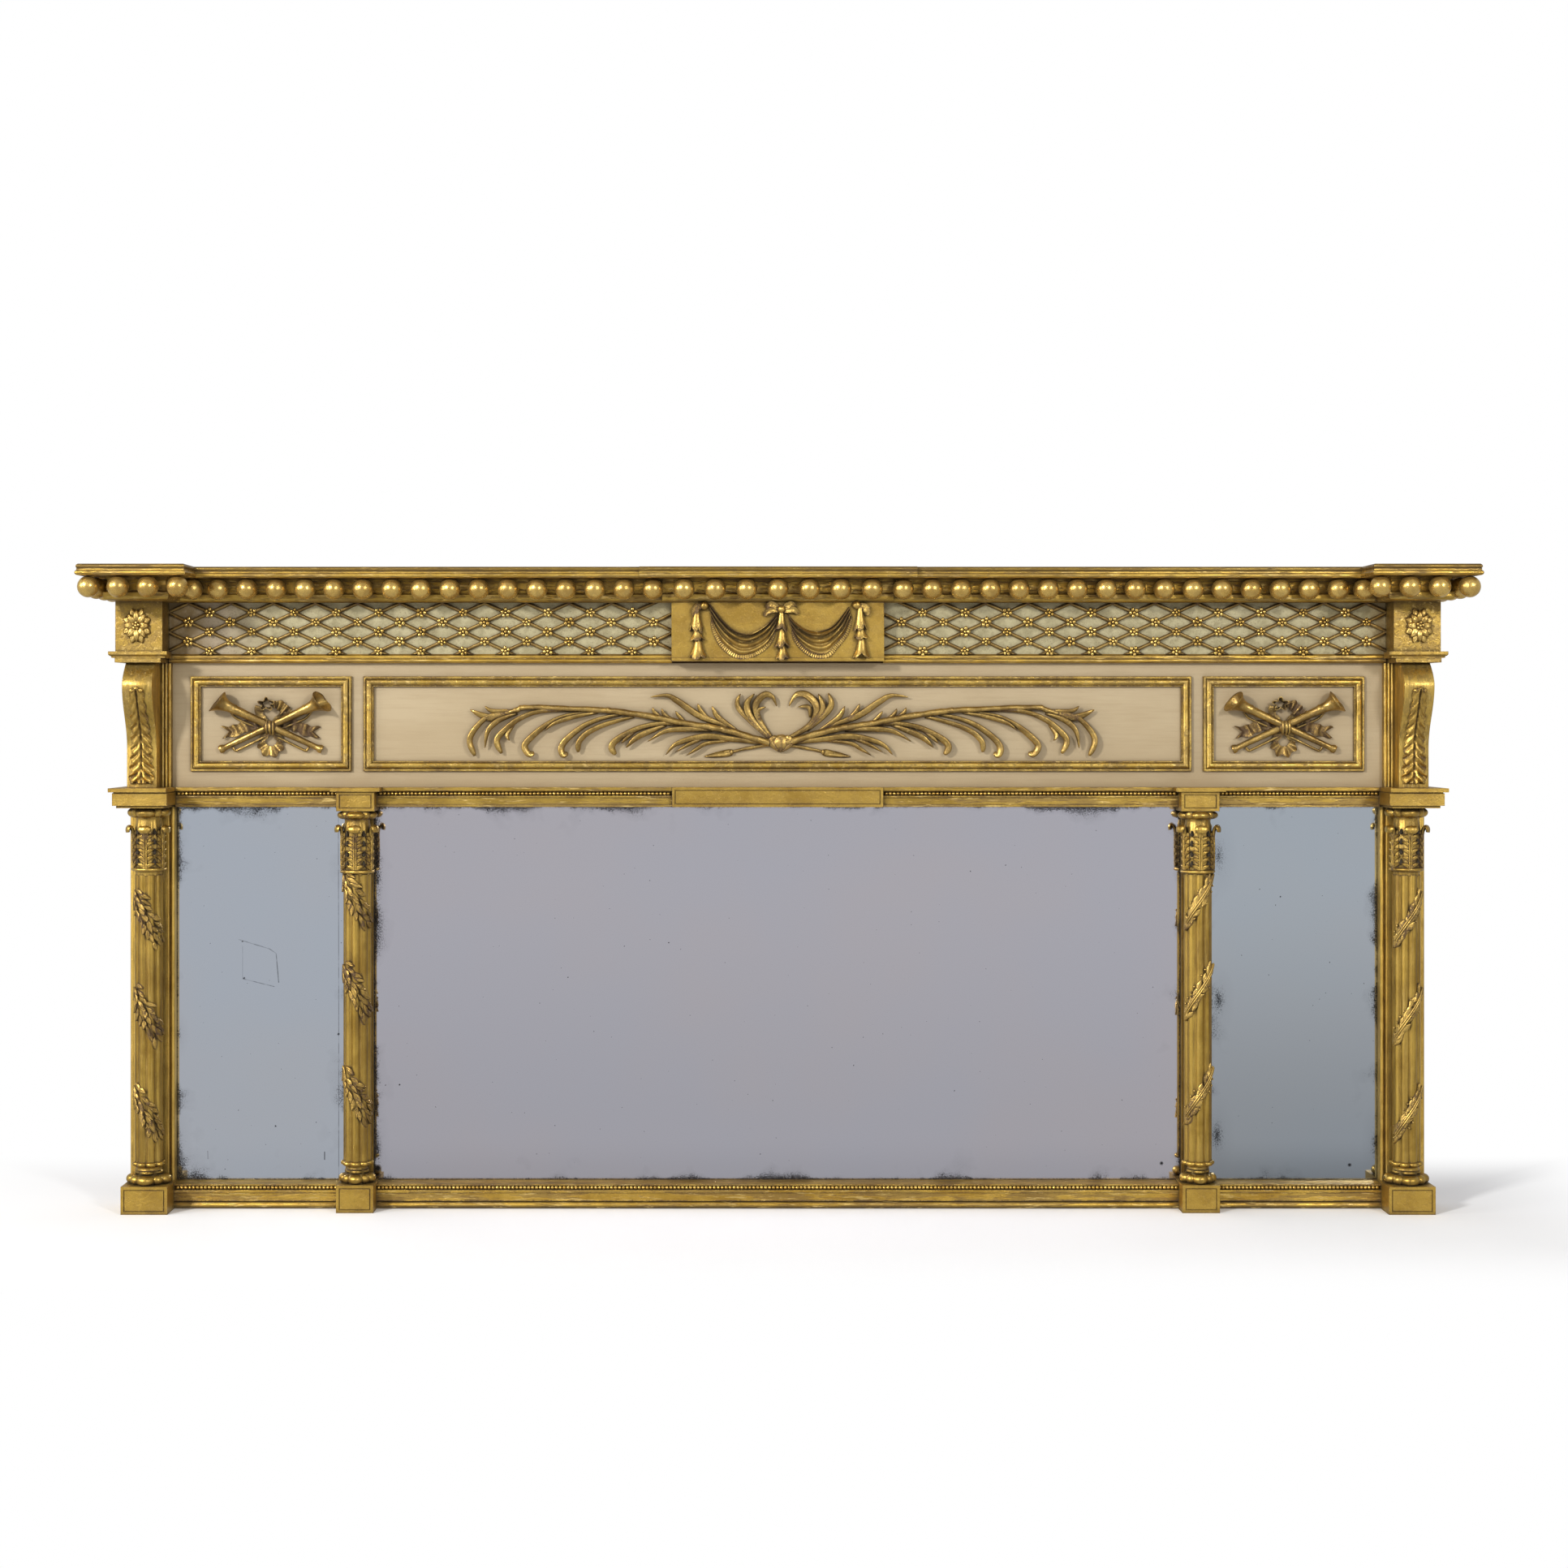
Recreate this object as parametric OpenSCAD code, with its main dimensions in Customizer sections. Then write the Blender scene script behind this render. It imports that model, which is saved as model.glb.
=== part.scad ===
// Triple-plate overmantel mirror in carved, gilded and painted pine.
// Everything is laid out from the wall: a depth is a distance in front of the wall plane,
// a width is measured from the centre line, and a height from the shelf it stands on.

/* [Overall] */
// Half of the width over the outer stiles
stile_x = 788; // [760:0.5:820]
// Width of the gilded stile beside the glass
stile_w = 54; // [50:0.5:57]
// Height of the underside of the glass opening
sight_bottom = 32.3; // [30:0.1:36]
// Height of the upper edge of the glass opening
sight_top = 488.5; // [470:0.5:500]
// Depth of the cornice at its ends
cornice_end_d = 140; // [136:1:150]

/* [Carcass and glass] */
// Thickness of the pine carcass behind the gilded front
carcass_t = 20; // [19:0.5:24]
// Width of the rebate that holds the glass
rebate = 6; // [5:0.5:8]
// Thickness of the mirror plates
glass_t = 4; // [3:0.5:6]
// Clearance between a mirror plate and the carcass
glass_gap = 0.5; // [0.3:0.1:1]
// Thickness of the backboards
backboard_t = 6; // [5:0.5:7]
// Width of the bar between two mirror plates
muntin_w = 18; // [14:1:24]
// Height of the hanging plates on the back
hanger_h = 60; // [50:1:80]

/* [Columns] */
// Distance of the outer column centres from the outer edge of the stile
outer_inset = 26.5; // [24:0.5:29]
// Distance of the inner column centres from the centre line
inner_x = 510; // [450:1:560]
// Depth of the outer column centres
outer_d = 48; // [46:0.5:52]
// Depth of the inner column centres
inner_d = 43; // [42:0.5:45]
// Width of the clustered shaft over its reeds
shaft_w = 33.6; // [30:0.2:36]
// Number of reeds round a shaft
reeds = 8; // [6:1:10]
// Height of the outer and inner plinths
plinth_h = 33.5; // [33:0.1:38]
// Width of the outer plinths
outer_plinth_w = 56; // [50:1:57]
// Width of the inner plinths
inner_plinth_w = 45; // [40:1:50]
// Depth of the front of the outer plinths
outer_plinth_d = 75; // [72:1:80]
// Depth of the front of the inner plinths
inner_plinth_d = 65; // [62:1:70]

/* [Entablature] */
// Height of the architrave with its cap plates
architrave_h = 24; // [22:0.5:26]
// Depth of the front of the stile moulding
stile_d = 34; // [32:0.5:35]
// Depth of the front of the painted frieze board
frieze_d = 30; // [28:0.5:32]
// Height of the painted frieze between architrave and upper moulding
frieze_h = 150.8; // [140:0.2:160]
// Half width of the plain tablet in the architrave
tablet_x = 128; // [100:1:140]
// Width of the gilt mouldings that frame the frieze panels
frame_w = 12.8; // [10:0.2:16]
// Height from the frieze's lower edge to the gilt frames
frame_margin = 19; // [15:0.5:24]

/* [Lattice band] */
// Height of the moulding under the lattice
lattice_moulding_h = 11; // [9:0.5:14]
// Height of the latticed band
lattice_h = 62.3; // [55:0.1:70]
// Distance between lattice crossings along the band
lattice_pitch = 51.4; // [40:0.2:60]
// Distance between rows of crossings
lattice_row = 11.7; // [10:0.1:14]
// Width of a lattice reed
lattice_w = 4.4; // [3:0.1:6]
// Half width of the upper centre tablet
upper_tablet_x = 128.5; // [100:0.5:140]

/* [Cornice] */
// Height of the bed behind the balls
bed_h = 27.9; // [27:0.1:36]
// Height of the double reed at the top
crown_h = 13.5; // [12:0.5:18]
// Diameter of the turned balls
ball_dia = 25.6; // [20:0.2:26]
// Distance between balls along the straight runs
ball_pitch = 34.9; // [30:0.1:40]
// Depth of the front of the cornice between its ends
cornice_run_d = 81; // [78:1:90]
// Extra depth of the cornice over the centre tablet
centre_break = 6; // [4:0.5:10]

/* [Beading] */
// Diameter of the pearl beads
pearl_dia = 4.6; // [3.6:0.1:4.7]
// Distance between pearl beads
pearl_pitch = 4.8; // [4.75:0.05:6]

/* [Hidden] */
$fn = 48;

// Widths and heights of the front
sight_x = stile_x - stile_w;
outer_x = stile_x - outer_inset;
architrave_top = sight_top + architrave_h;
frieze_top = architrave_top + frieze_h;
band_bottom = frieze_top + lattice_moulding_h;
band_top = band_bottom + lattice_h;
crown_bottom = band_top + bed_h;
cornice_top = crown_bottom + crown_h;

// Carcass
carcass_inner_x = sight_x + rebate;
plate_edge_z0 = sight_bottom - rebate;
plate_edge_z1 = sight_top + rebate;
muntin_strip_t = 6;
frieze_rail_reach = 40;
top_rail_drop = 30;
muntin_strip_w = shaft_w;
glass_back_d = carcass_t - glass_t;

// Column heights
base_h = 26.9;
shaft_z0 = plinth_h + base_h;
neck_drop = 81.5;
shaft_z1 = sight_top - neck_drop;
reed_r = 5.6;
reed_centre_r = shaft_w / 2 - reed_r;
fillet_reed_out = 1.9;
column_seat_outer = stile_d;
column_seat_inner = carcass_t + muntin_strip_t;
outer_block_z0 = sight_top;
inner_block_drop = 4.5;

// Consoles and blocks at the ends
console_x1 = stile_x - 2;
console_x0 = console_x1 - 36.4;
strip_w = 12.6;
strip_t = 7;
strip_reed_r = strip_w / 6;
leaf_strip_w = 16;
strip_x0 = console_x0 - strip_w;
strip_x1 = console_x0;
block_x1 = stile_x + 8.5;
block_x0 = block_x1 - 56.5;
block_d = 72;
sub_plate_reach = 7;
sub_plate_x0 = block_x0 - sub_plate_reach;
sub_plate_x1 = block_x1 + sub_plate_reach;
sub_plate_d = 79;
sub_plate_z0 = frieze_top + 5.5;
sub_plate_z1 = sub_plate_z0 + 7.7;

// Cornice
ball_z = crown_bottom - 0.2 - ball_dia / 2;
ball_gap = 0.8;
bed_set_back = 4;
run_bed_d = cornice_run_d - ball_dia - ball_gap;
crown_reach = 26.6;
end_bed_d = cornice_end_d - crown_reach;
end_bed_x1 = block_x1 + 4.5;
end_bed_x0 = end_bed_x1 - 77.9;
end_crown_x0 = end_bed_x0 - crown_reach + 1;
end_crown_x1 = end_bed_x1 + crown_reach;
end_ball_d = end_bed_d + ball_gap + ball_dia / 2;
end_ball_x0 = end_bed_x0 - ball_gap - ball_dia / 2;
end_ball_x1 = end_bed_x1 + ball_gap + ball_dia / 2;
run_ball_d = run_bed_d + ball_gap + ball_dia / 2;
first_ball_x = 150.7;
centre_crown_x = 166.5;
centre_bed_x = 139.7;
centre_ball_pitch = 37.7;

// Upper panel band
lattice_ground_d = 35;
lattice_reed_t = 4;
tablet_d = 55;

gilt = [0.76, 0.62, 0.29];
burnished = [0.82, 0.67, 0.33];
cream = [0.80, 0.72, 0.59];
silvered = [0.74, 0.73, 0.60];
pine = [0.72, 0.56, 0.37];
mirror_tone = [0.66, 0.68, 0.71];
iron = [0.30, 0.29, 0.28];

// Placing: the wall plane stands half of the overall depth behind the origin

module from_wall() translate([0, cornice_end_d / 2, 0]) children();

module side(s) if (s < 0) mirror([1, 0, 0]) children(); else children();

module slab(x0, x1, d0, d1, z0, z1) translate([x0, -d1, z0]) cube([x1 - x0, d1 - d0, z1 - z0]);

// A length of moulding along the width: its section is drawn as depth against height
module run_x(x0, x1) translate([x0, 0, 0]) rotate([90, 0, 90])
    linear_extrude(x1 - x0) mirror([1, 0]) children();

// A plate seen from the front, drawn as width against height, standing out from depth d0 to d1
module face(d0, d1) translate([0, -d0, 0]) rotate([90, 0, 0]) linear_extrude(d1 - d0) children();

// A front-facing length of moulding whose ends are mitred: m is 1 at an outer corner, -1 at an
// inner corner and 0 for a square end. The section lies behind its face line, u from -deep to 0.
module front_run(x0, x1, d, deep, z0, z1, m0, m1) {
    intersection() {
        run_x(x0 - deep, x1 + deep) translate([d, 0]) children();
        translate([0, 0, z0]) linear_extrude(z1 - z0) polygon([
            [x0, -d], [x1, -d], [x1 - m1 * deep, deep - d], [x0 + m0 * deep, deep - d]
        ]);
    }
}

// The same for a length that faces outwards along the width
module side_run(x, d0, d1, deep, z0, z1, m0, m1) {
    intersection() {
        translate([x, deep - d0, 0]) rotate([90, 0, 0]) linear_extrude(d1 - d0 + 2 * deep) children();
        translate([0, 0, z0]) linear_extrude(z1 - z0) polygon([
            [x, -d0], [x, -d1], [x - deep, m1 * deep - d1], [x - deep, -m0 * deep - d0]
        ]);
    }
}

// Points along an arc, for the rounded members of a moulding
function arc(cx, cy, r, a0, a1, steps) =
    [for (i = [0 : steps]) let (a = a0 + (a1 - a0) * i / steps) [cx + r * cos(a), cy + r * sin(a)]];

module carcass_space() slab(0, stile_x, -1, carcass_t, -1, crown_bottom);

// Carcass

module carcass_stile(s) color(pine) from_wall() side(s)
    slab(carcass_inner_x, stile_x, 0, carcass_t, 0, crown_bottom);

module carcass_rail_bottom() color(pine) from_wall()
    slab(-carcass_inner_x, carcass_inner_x, 0, carcass_t, 0, plate_edge_z0);

module carcass_rail_middle() color(pine) from_wall()
    slab(-carcass_inner_x, carcass_inner_x, 0, carcass_t, plate_edge_z1, architrave_top + frieze_rail_reach);

module carcass_rail_top() color(pine) from_wall() difference() {
    slab(-carcass_inner_x, carcass_inner_x, 0, carcass_t, frieze_top - top_rail_drop, crown_bottom);
    for (s = [-1, 1]) translate([s * hanger_x, 0, hanger_z]) {
        face(-1, hanger_t) square([hanger_w, hanger_h], center = true);
        face(0, 12) keyhole(1.5);
        for (z = [-screw_z, screw_z]) translate([0, 0, z]) face(0, screw_l) circle(r = screw_r);
    }
}

module muntin(s) color(pine) from_wall() side(s) {
    slab(inner_x - muntin_w / 2, inner_x + muntin_w / 2, 0, carcass_t, plate_edge_z0, plate_edge_z1);
    slab(inner_x - muntin_strip_w / 2, inner_x + muntin_strip_w / 2,
        carcass_t, column_seat_inner, sight_bottom, sight_top - inner_block_drop);
}

// The boards lie flush in the back of the carcass, three behind the glass and one behind the frieze
board_gap = 0.5;
board_d0 = 2;

module board(x0, x1, z0, z1)
    slab(x0 + board_gap, x1 - board_gap, board_d0, board_d0 + backboard_t, z0 + board_gap, z1 - board_gap);

module backboards() color(pine) from_wall() {
    for (s = [-1, 1]) side(s)
        board(inner_x + muntin_w / 2, carcass_inner_x, plate_edge_z0, plate_edge_z1);
    board(-inner_x + muntin_w / 2, inner_x - muntin_w / 2, plate_edge_z0, plate_edge_z1);
    board(-carcass_inner_x, carcass_inner_x, architrave_top + frieze_rail_reach, frieze_top - top_rail_drop);
}

// Mirror plates and the small glued blocks that wedge them from behind

module plate(x0, x1) color(mirror_tone) from_wall()
    slab(x0 + glass_gap, x1 - glass_gap, glass_back_d, carcass_t,
        plate_edge_z0 + glass_gap, plate_edge_z1 - glass_gap);

module mirror_plate_side(s) side(s) plate(inner_x + muntin_w / 2, carcass_inner_x);

module mirror_plate_centre() plate(-inner_x + muntin_w / 2, inner_x - muntin_w / 2);

block_l = 40;
block_w = 12;
block_d0 = board_d0 + backboard_t;

module block_row(x0, x1, count) {
    step = (x1 - x0) / count;
    for (i = [0 : count - 1]) for (z = [plate_edge_z0, plate_edge_z1 - block_w])
        translate([x0 + (i + 0.5) * step, 0, z])
            slab(-block_l / 2, block_l / 2, block_d0, glass_back_d, 0, block_w);
}

module glass_blocks() color(pine) from_wall() {
    for (s = [-1, 1]) side(s) block_row(inner_x + muntin_w / 2, carcass_inner_x, 2);
    block_row(-inner_x + muntin_w / 2, inner_x - muntin_w / 2, 5);
}

// Iron hanging plates let into the back of the upper rail, each with a keyhole and two screws
hanger_x = 600;
hanger_w = 36;
hanger_t = 3;
hanger_z = frieze_top + 48;
keyhole_r = 5;
slot_r = 2.5;
slot_l = 12;
screw_r = 2;
screw_z = 22;
screw_l = 16;
head_r = 3.8;
head_t = 1.4;

module keyhole(room) {
    circle(r = keyhole_r + room);
    translate([-slot_r - room, 0]) square([2 * (slot_r + room), slot_l]);
    translate([0, slot_l]) circle(r = slot_r + room);
}

module hanging_plates() color(iron) from_wall()
    for (s = [-1, 1]) translate([s * hanger_x, 0, hanger_z]) difference() {
        face(0, hanger_t) difference() {
            square([hanger_w, hanger_h], center = true);
            keyhole(0);
            for (z = [-screw_z, screw_z]) translate([0, z]) circle(r = screw_r);
        }
        for (z = [-screw_z, screw_z]) translate([0, 0, z]) face(-1, head_t) circle(r = head_r);
    }

module hanging_screws() color(iron) from_wall()
    for (s = [-1, 1]) for (z = [-screw_z, screw_z]) translate([s * hanger_x, 0, hanger_z + z]) {
        face(head_t, screw_l) circle(r = screw_r);
        face(0, head_t) circle(r = head_r);
    }

// Bottom rail: a reed on the shelf, a fascia, a fillet, a hollow for the pearls and a sloping lip
lip_z = sight_bottom - 3.8;
pearl_z = sight_bottom - 6.5;
pearl_d = 37.6;
hollow_d = pearl_d - pearl_dia / 2 + 0.3;
reed_face_d = 36;
fascia_d = 38.5;
fillet_d = 40.5;
fillet_z0 = 20;
fillet_z1 = 23.3;

module bottom_section() {
    difference() {
        union() {
            polygon([
                [carcass_t, 0], [reed_face_d, 0], [reed_face_d, 9], [fascia_d, 9.6], [fascia_d, fillet_z0],
                [fillet_d, fillet_z0], [fillet_d, fillet_z1], [hollow_d, fillet_z1], [hollow_d, lip_z],
                [fillet_d - 0.5, lip_z], [fillet_d - 0.5, lip_z + 1.4], [carcass_t, sight_bottom]
            ]);
            translate([35.8, 4.3]) circle(r = 4.3);
        }
        translate([37.2, 9.3]) circle(r = 1.1);
    }
}

module bottom_rail() color(gilt) from_wall() {
    for (s = [-1, 1]) side(s)
        run_x(inner_x + inner_plinth_w / 2, outer_x - outer_plinth_w / 2) bottom_section();
    run_x(-inner_x + inner_plinth_w / 2, inner_x - inner_plinth_w / 2) bottom_section();
}

// Architrave: the same members turned over, stopped by the tablet and the blocks
inner_block_w = 46;
inner_block_d = 60;
outer_block_x0 = sight_x - 3;
outer_block_x1 = block_x1;
outer_block_d = 88;
arch_d = 40;
arch_pearl_z = sight_top + 16.1;

module architrave_section() {
    translate([0, sight_top]) difference() {
        polygon([
            [carcass_t, 0], [arch_d + 1.5, 0], [arch_d + 1.5, 2.7], [arch_d, 3.2], [arch_d, 11.5],
            [arch_d + 1.5, 11.5], [arch_d + 1.5, 13.6], [hollow_d, 13.6], [hollow_d, 18.6],
            [arch_d + 1, 18.6], [arch_d + 4, 19.8], [arch_d + 4, architrave_h], [carcass_t, architrave_h]
        ]);
        translate([arch_d + 0.9, 3]) circle(r = 0.7);
    }
}

module architrave_rail() color(gilt) from_wall() {
    for (s = [-1, 1]) side(s) {
        run_x(tablet_x, inner_x - inner_block_w / 2) architrave_section();
        run_x(inner_x + inner_block_w / 2, outer_block_x0) architrave_section();
    }
}

// An incised line: a square groove that follows the edge of a face
module incised(x0, x1, z0, z1, inset, line) difference() {
    translate([x0 + inset, z0 + inset]) square([x1 - x0 - 2 * inset, z1 - z0 - 2 * inset]);
    translate([x0 + inset + line, z0 + inset + line])
        square([x1 - x0 - 2 * (inset + line), z1 - z0 - 2 * (inset + line)]);
}

incised_depth = 1;

module incised_block(x0, x1, d0, d1, z0, z1, inset) difference() {
    slab(x0, x1, d0, d1, z0, z1);
    face(d1 - incised_depth, d1 + 1) incised(x0, x1, z0, z1, inset, 1.2);
}

module architrave_tablet() color(gilt) from_wall()
    incised_block(-tablet_x, tablet_x, carcass_t, arch_d + 6, sight_top, architrave_top, 3.2);

cap_t = 4.8;
cap_z0 = architrave_top - cap_t;

// One step of an end block, set back from its faces
module block_step(back, z0, z1)
    slab(outer_block_x0 + back, outer_block_x1 - back, 0, outer_block_d - back, z0, z1);

module architrave_block_outer(s) color(gilt) from_wall() side(s) difference() {
    union() {
        block_step(4, outer_block_z0, outer_block_z0 + 3);
        block_step(0, outer_block_z0 + 3, cap_z0 - 1.2);
        block_step(1.2, cap_z0 - 1.2, cap_z0);
        block_step(-4, cap_z0, architrave_top);
    }
    carcass_space();
    slab(outer_block_x0 - 10, outer_block_x0, -1, 100, cap_z0 - 40, architrave_top + 1);
}

module architrave_block_inner(s) color(gilt) from_wall() side(s) {
    x0 = inner_x - inner_block_w / 2;
    x1 = inner_x + inner_block_w / 2;
    incised_block(x0, x1, carcass_t, inner_block_d, sight_top - inner_block_drop, cap_z0, 3.4);
    slab(x0, x1, carcass_t, inner_block_d, cap_z0, architrave_top);
    slab(x0 - 7, x1 + 7, arch_d + 4, inner_block_d + 4, cap_z0, architrave_top);
}

// Pearl beading in the hollows of the bottom rail and the architrave

module pearls(x0, x1, z) {
    count = floor((x1 - x0) / pearl_pitch);
    first = (x0 + x1 - (count - 1) * pearl_pitch) / 2;
    for (i = [0 : count - 1]) translate([first + i * pearl_pitch, -pearl_d, z])
        sphere(d = pearl_dia, $fn = 16);
}

module pearl_beading() color(burnished) from_wall() {
    for (s = [-1, 1]) side(s) {
        pearls(inner_x + inner_plinth_w / 2, outer_x - outer_plinth_w / 2, pearl_z);
        pearls(inner_x + inner_block_w / 2, outer_block_x0, arch_pearl_z);
        pearls(tablet_x, inner_x - inner_block_w / 2, arch_pearl_z);
    }
    pearls(-inner_x + inner_plinth_w / 2, inner_x - inner_plinth_w / 2, pearl_z);
}

// Gilded moulding on each outer stile: a flat face with a reed on the outer edge and a bead at the glass

module stile_moulding(s) color(gilt) from_wall() side(s)
    translate([0, 0, plinth_h]) linear_extrude(sight_top - plinth_h) mirror([0, 1]) polygon(concat(
        [[sight_x, carcass_t]],
        arc(sight_x + 2.6, stile_d - 2.6, 2.6, 180, 20, 8),
        arc(sight_x + 6.9, stile_d, 1.7, 200, 340, 6),
        arc(stile_x - 3, stile_d - 3, 3, 110, 0, 6),
        [[stile_x, carcass_t]]
    ));

// Plinths

module plinth(x, w, d) incised_block(x - w / 2, x + w / 2, carcass_t, d, 0, plinth_h, 3.5);

module plinth_outer(s) color(gilt) from_wall() side(s) plinth(outer_x, outer_plinth_w, outer_plinth_d);

module plinth_inner(s) color(gilt) from_wall() side(s) plinth(inner_x, inner_plinth_w, inner_plinth_d);

// Columns: every member is a cluster of turned lobes, cut flat where it is planted on the frame

module cushion(r, h) rotate_extrude($fn = 32) {
    square([r - h / 2, h]);
    intersection() {
        translate([r - h / 2, h / 2]) circle(r = h / 2, $fn = 24);
        square([r + 1, h]);
    }
}

// A turned piece on a column's axis, cut flat where it is planted
module planted(x, d, seat) intersection() {
    translate([x, -d, 0]) children();
    slab(x - shaft_w, x + shaft_w, seat, d + shaft_w, 0, cornice_top);
}

module cluster(count, turn, centre_r) for (i = [0 : count - 1])
    rotate(turn + i * 360 / count) translate([0, -centre_r, 0]) children();

// Base: four large lobes with small ones between, a lesser torus, a hollow neck and a ring of reeds
module base_lobes(r) {
    translate([0, 0, plinth_h]) {
        cluster(4, 0, r * 0.58) cushion(r * 0.42, 11.3);
        cluster(4, 45, r * 0.62) cushion(r * 0.28, 11.3);
        cylinder(r = r * 0.66, h = 11.3);
        translate([0, 0, 11.3]) cluster(4, 0, r * 0.28) cushion(r * 0.34, 5.2);
        translate([0, 0, 11.3]) cylinder(r = r * 0.5, h = 5.2);
        translate([0, 0, 16.5]) rotate_extrude() difference() {
            square([r * 0.62, 5]);
            translate([r * 0.62 + 1.2, 2.5]) circle(r = 3);
        }
    }
}

module base_ring(turn) translate([0, 0, plinth_h + 21.5]) {
    cluster(reeds, turn, reed_centre_r + 2) cushion(reed_r + 1.2, 5.4);
    cylinder(r = reed_centre_r + 4, h = base_h - 21.5);
}

module column_base_outer(s) color(gilt) from_wall() side(s)
    planted(outer_x, outer_d, column_seat_outer) {
        base_lobes(outer_plinth_w / 2 - 0.5);
        base_ring(180 / reeds);
    }

module column_base_inner(s) color(gilt) from_wall() side(s)
    planted(inner_x, inner_d, column_seat_inner) {
        base_lobes(inner_plinth_w / 2);
        base_ring(0);
    }

// Shaft: large reeds with a small fillet reed in every hollow
module shaft_section(turn) {
    circle(r = reed_centre_r + 1);
    for (i = [0 : reeds - 1]) {
        rotate(turn + i * 360 / reeds)
            translate([0, -reed_centre_r]) circle(r = reed_r, $fn = 32);
        rotate(turn + (i + 0.5) * 360 / reeds)
            translate([0, -reed_centre_r - fillet_reed_out]) circle(r = 1.5, $fn = 16);
    }
}

module shaft(turn) translate([0, 0, shaft_z0]) linear_extrude(shaft_z1 - shaft_z0) shaft_section(turn);

module column_shaft_outer(s) color(gilt) from_wall() side(s)
    planted(outer_x, outer_d, column_seat_outer) shaft(180 / reeds);

module column_shaft_inner(s) color(gilt) from_wall() side(s)
    planted(inner_x, inner_d, column_seat_inner) shaft(0);

// Capital: neck ring, bell, tall leaves that curl over at the tip, and a lobed echinus
leaf_h = 55;
leaf_w = 12;
leaf_bow = 28.5;
neck_h = 6;

module leaf_front() translate([0, 1]) intersection() {
    translate([0, leaf_h * 0.42]) circle(r = leaf_h * 0.62);
    translate([leaf_w / 2 - leaf_bow, leaf_h * 0.4]) circle(r = leaf_bow);
    translate([leaf_bow - leaf_w / 2, leaf_h * 0.4]) circle(r = leaf_bow);
}

// Side of a leaf: it climbs the bell, leans out and turns down at the tip
module leaf_side(bell_r, tip_r) {
    lean = tip_r - bell_r - 3.5;
    steps = 10;
    inside = [for (i = [0 : steps]) [bell_r - 1 + lean * pow(i / steps, 4), leaf_h * i / steps]];
    outside = [for (i = [steps : -1 : 0]) [bell_r + 2.6 + lean * pow(i / steps, 4), leaf_h * i / steps]];
    polygon(concat(inside, outside));
    translate([tip_r - 3.2, leaf_h - 3.2]) circle(r = 3.2, $fn = 24);
}

module leaf(bell_r, tip_r) intersection() {
    rotate([90, 0, -90]) translate([0, 0, -leaf_w]) linear_extrude(2 * leaf_w) leaf_side(bell_r, tip_r);
    translate([0, 10, 0]) rotate([90, 0, 0]) linear_extrude(80) leaf_front();
}

module capital(turn, tip_r, top_w, echinus_h, top_z) {
    translate([0, 0, shaft_z1]) {
        cluster(reeds, turn, reed_centre_r + 2.6) cushion(reed_r + 1.4, neck_h);
        cylinder(r = reed_centre_r + 4, h = neck_h);
        translate([0, 0, neck_h]) cylinder(r = shaft_w / 2 - 1.5, h = top_z - echinus_h - shaft_z1 - neck_h);
        translate([0, 0, neck_h]) for (a = [-90 : 45 : 90]) rotate(a) leaf(shaft_w / 2 - 1.2, tip_r);
    }
    translate([0, 0, top_z - echinus_h]) {
        cluster(8, 22.5, top_w / 2 - 8) cushion(8, echinus_h);
        cylinder(r = top_w / 2 - 5, h = echinus_h);
    }
}

module capital_outer(s) color(gilt) from_wall() side(s)
    planted(outer_x, outer_d, column_seat_outer) capital(180 / reeds, 26.5, 50.5, 12.4, outer_block_z0);

module capital_inner(s) color(gilt) from_wall() side(s)
    planted(inner_x, inner_d, column_seat_inner) capital(0, 24.5, 46.8, 9.6, sight_top - inner_block_drop);

// Painted frieze and the gilt frames planted on it

module frieze_board() color(cream) from_wall()
    slab(-console_x0, console_x0, carcass_t, frieze_d, architrave_top, frieze_top);

frame_z0 = architrave_top + frame_margin;
frame_z1 = frieze_top - 16;
small_frame_x0 = inner_x + 8.5;
small_frame_x1 = strip_x0 - 22.2;
centre_frame_x = inner_x - 5.7;

module frame_section() {
    square([frame_w, 3.2]);
    translate([0.8, 0]) square([2, 4.6]);
    translate([frame_w * 0.56, 3.2]) intersection() {
        circle(r = frame_w * 0.3);
        translate([-10, -1]) square([20, 20]);
    }
    translate([frame_w - 1.6, 0]) square([1.2, 4.2]);
}

// Four mitred lengths: each is the section drawn outward to inward, cut by the corner diagonals
module frame_length(len) intersection() {
    translate([0, 0, 0]) rotate([90, 0, 90]) linear_extrude(len) frame_section();
    linear_extrude(20) polygon([[0, 0], [len, 0], [len - frame_w, frame_w], [frame_w, frame_w]]);
}

module gilt_frame(x0, x1, z0, z1) translate([x0, -frieze_d, z0]) rotate([90, 0, 0]) {
    frame_length(x1 - x0);
    translate([x1 - x0, z1 - z0]) rotate(180) frame_length(x1 - x0);
    translate([x1 - x0, 0]) rotate(90) frame_length(z1 - z0);
    translate([0, z1 - z0]) rotate(-90) frame_length(z1 - z0);
}

module frieze_frame_side(s) color(gilt) from_wall() side(s)
    gilt_frame(small_frame_x0, small_frame_x1, frame_z0, frame_z1);

module frieze_frame_centre() color(gilt) from_wall()
    gilt_frame(-centre_frame_x, centre_frame_x, frame_z0, frame_z1);

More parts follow.
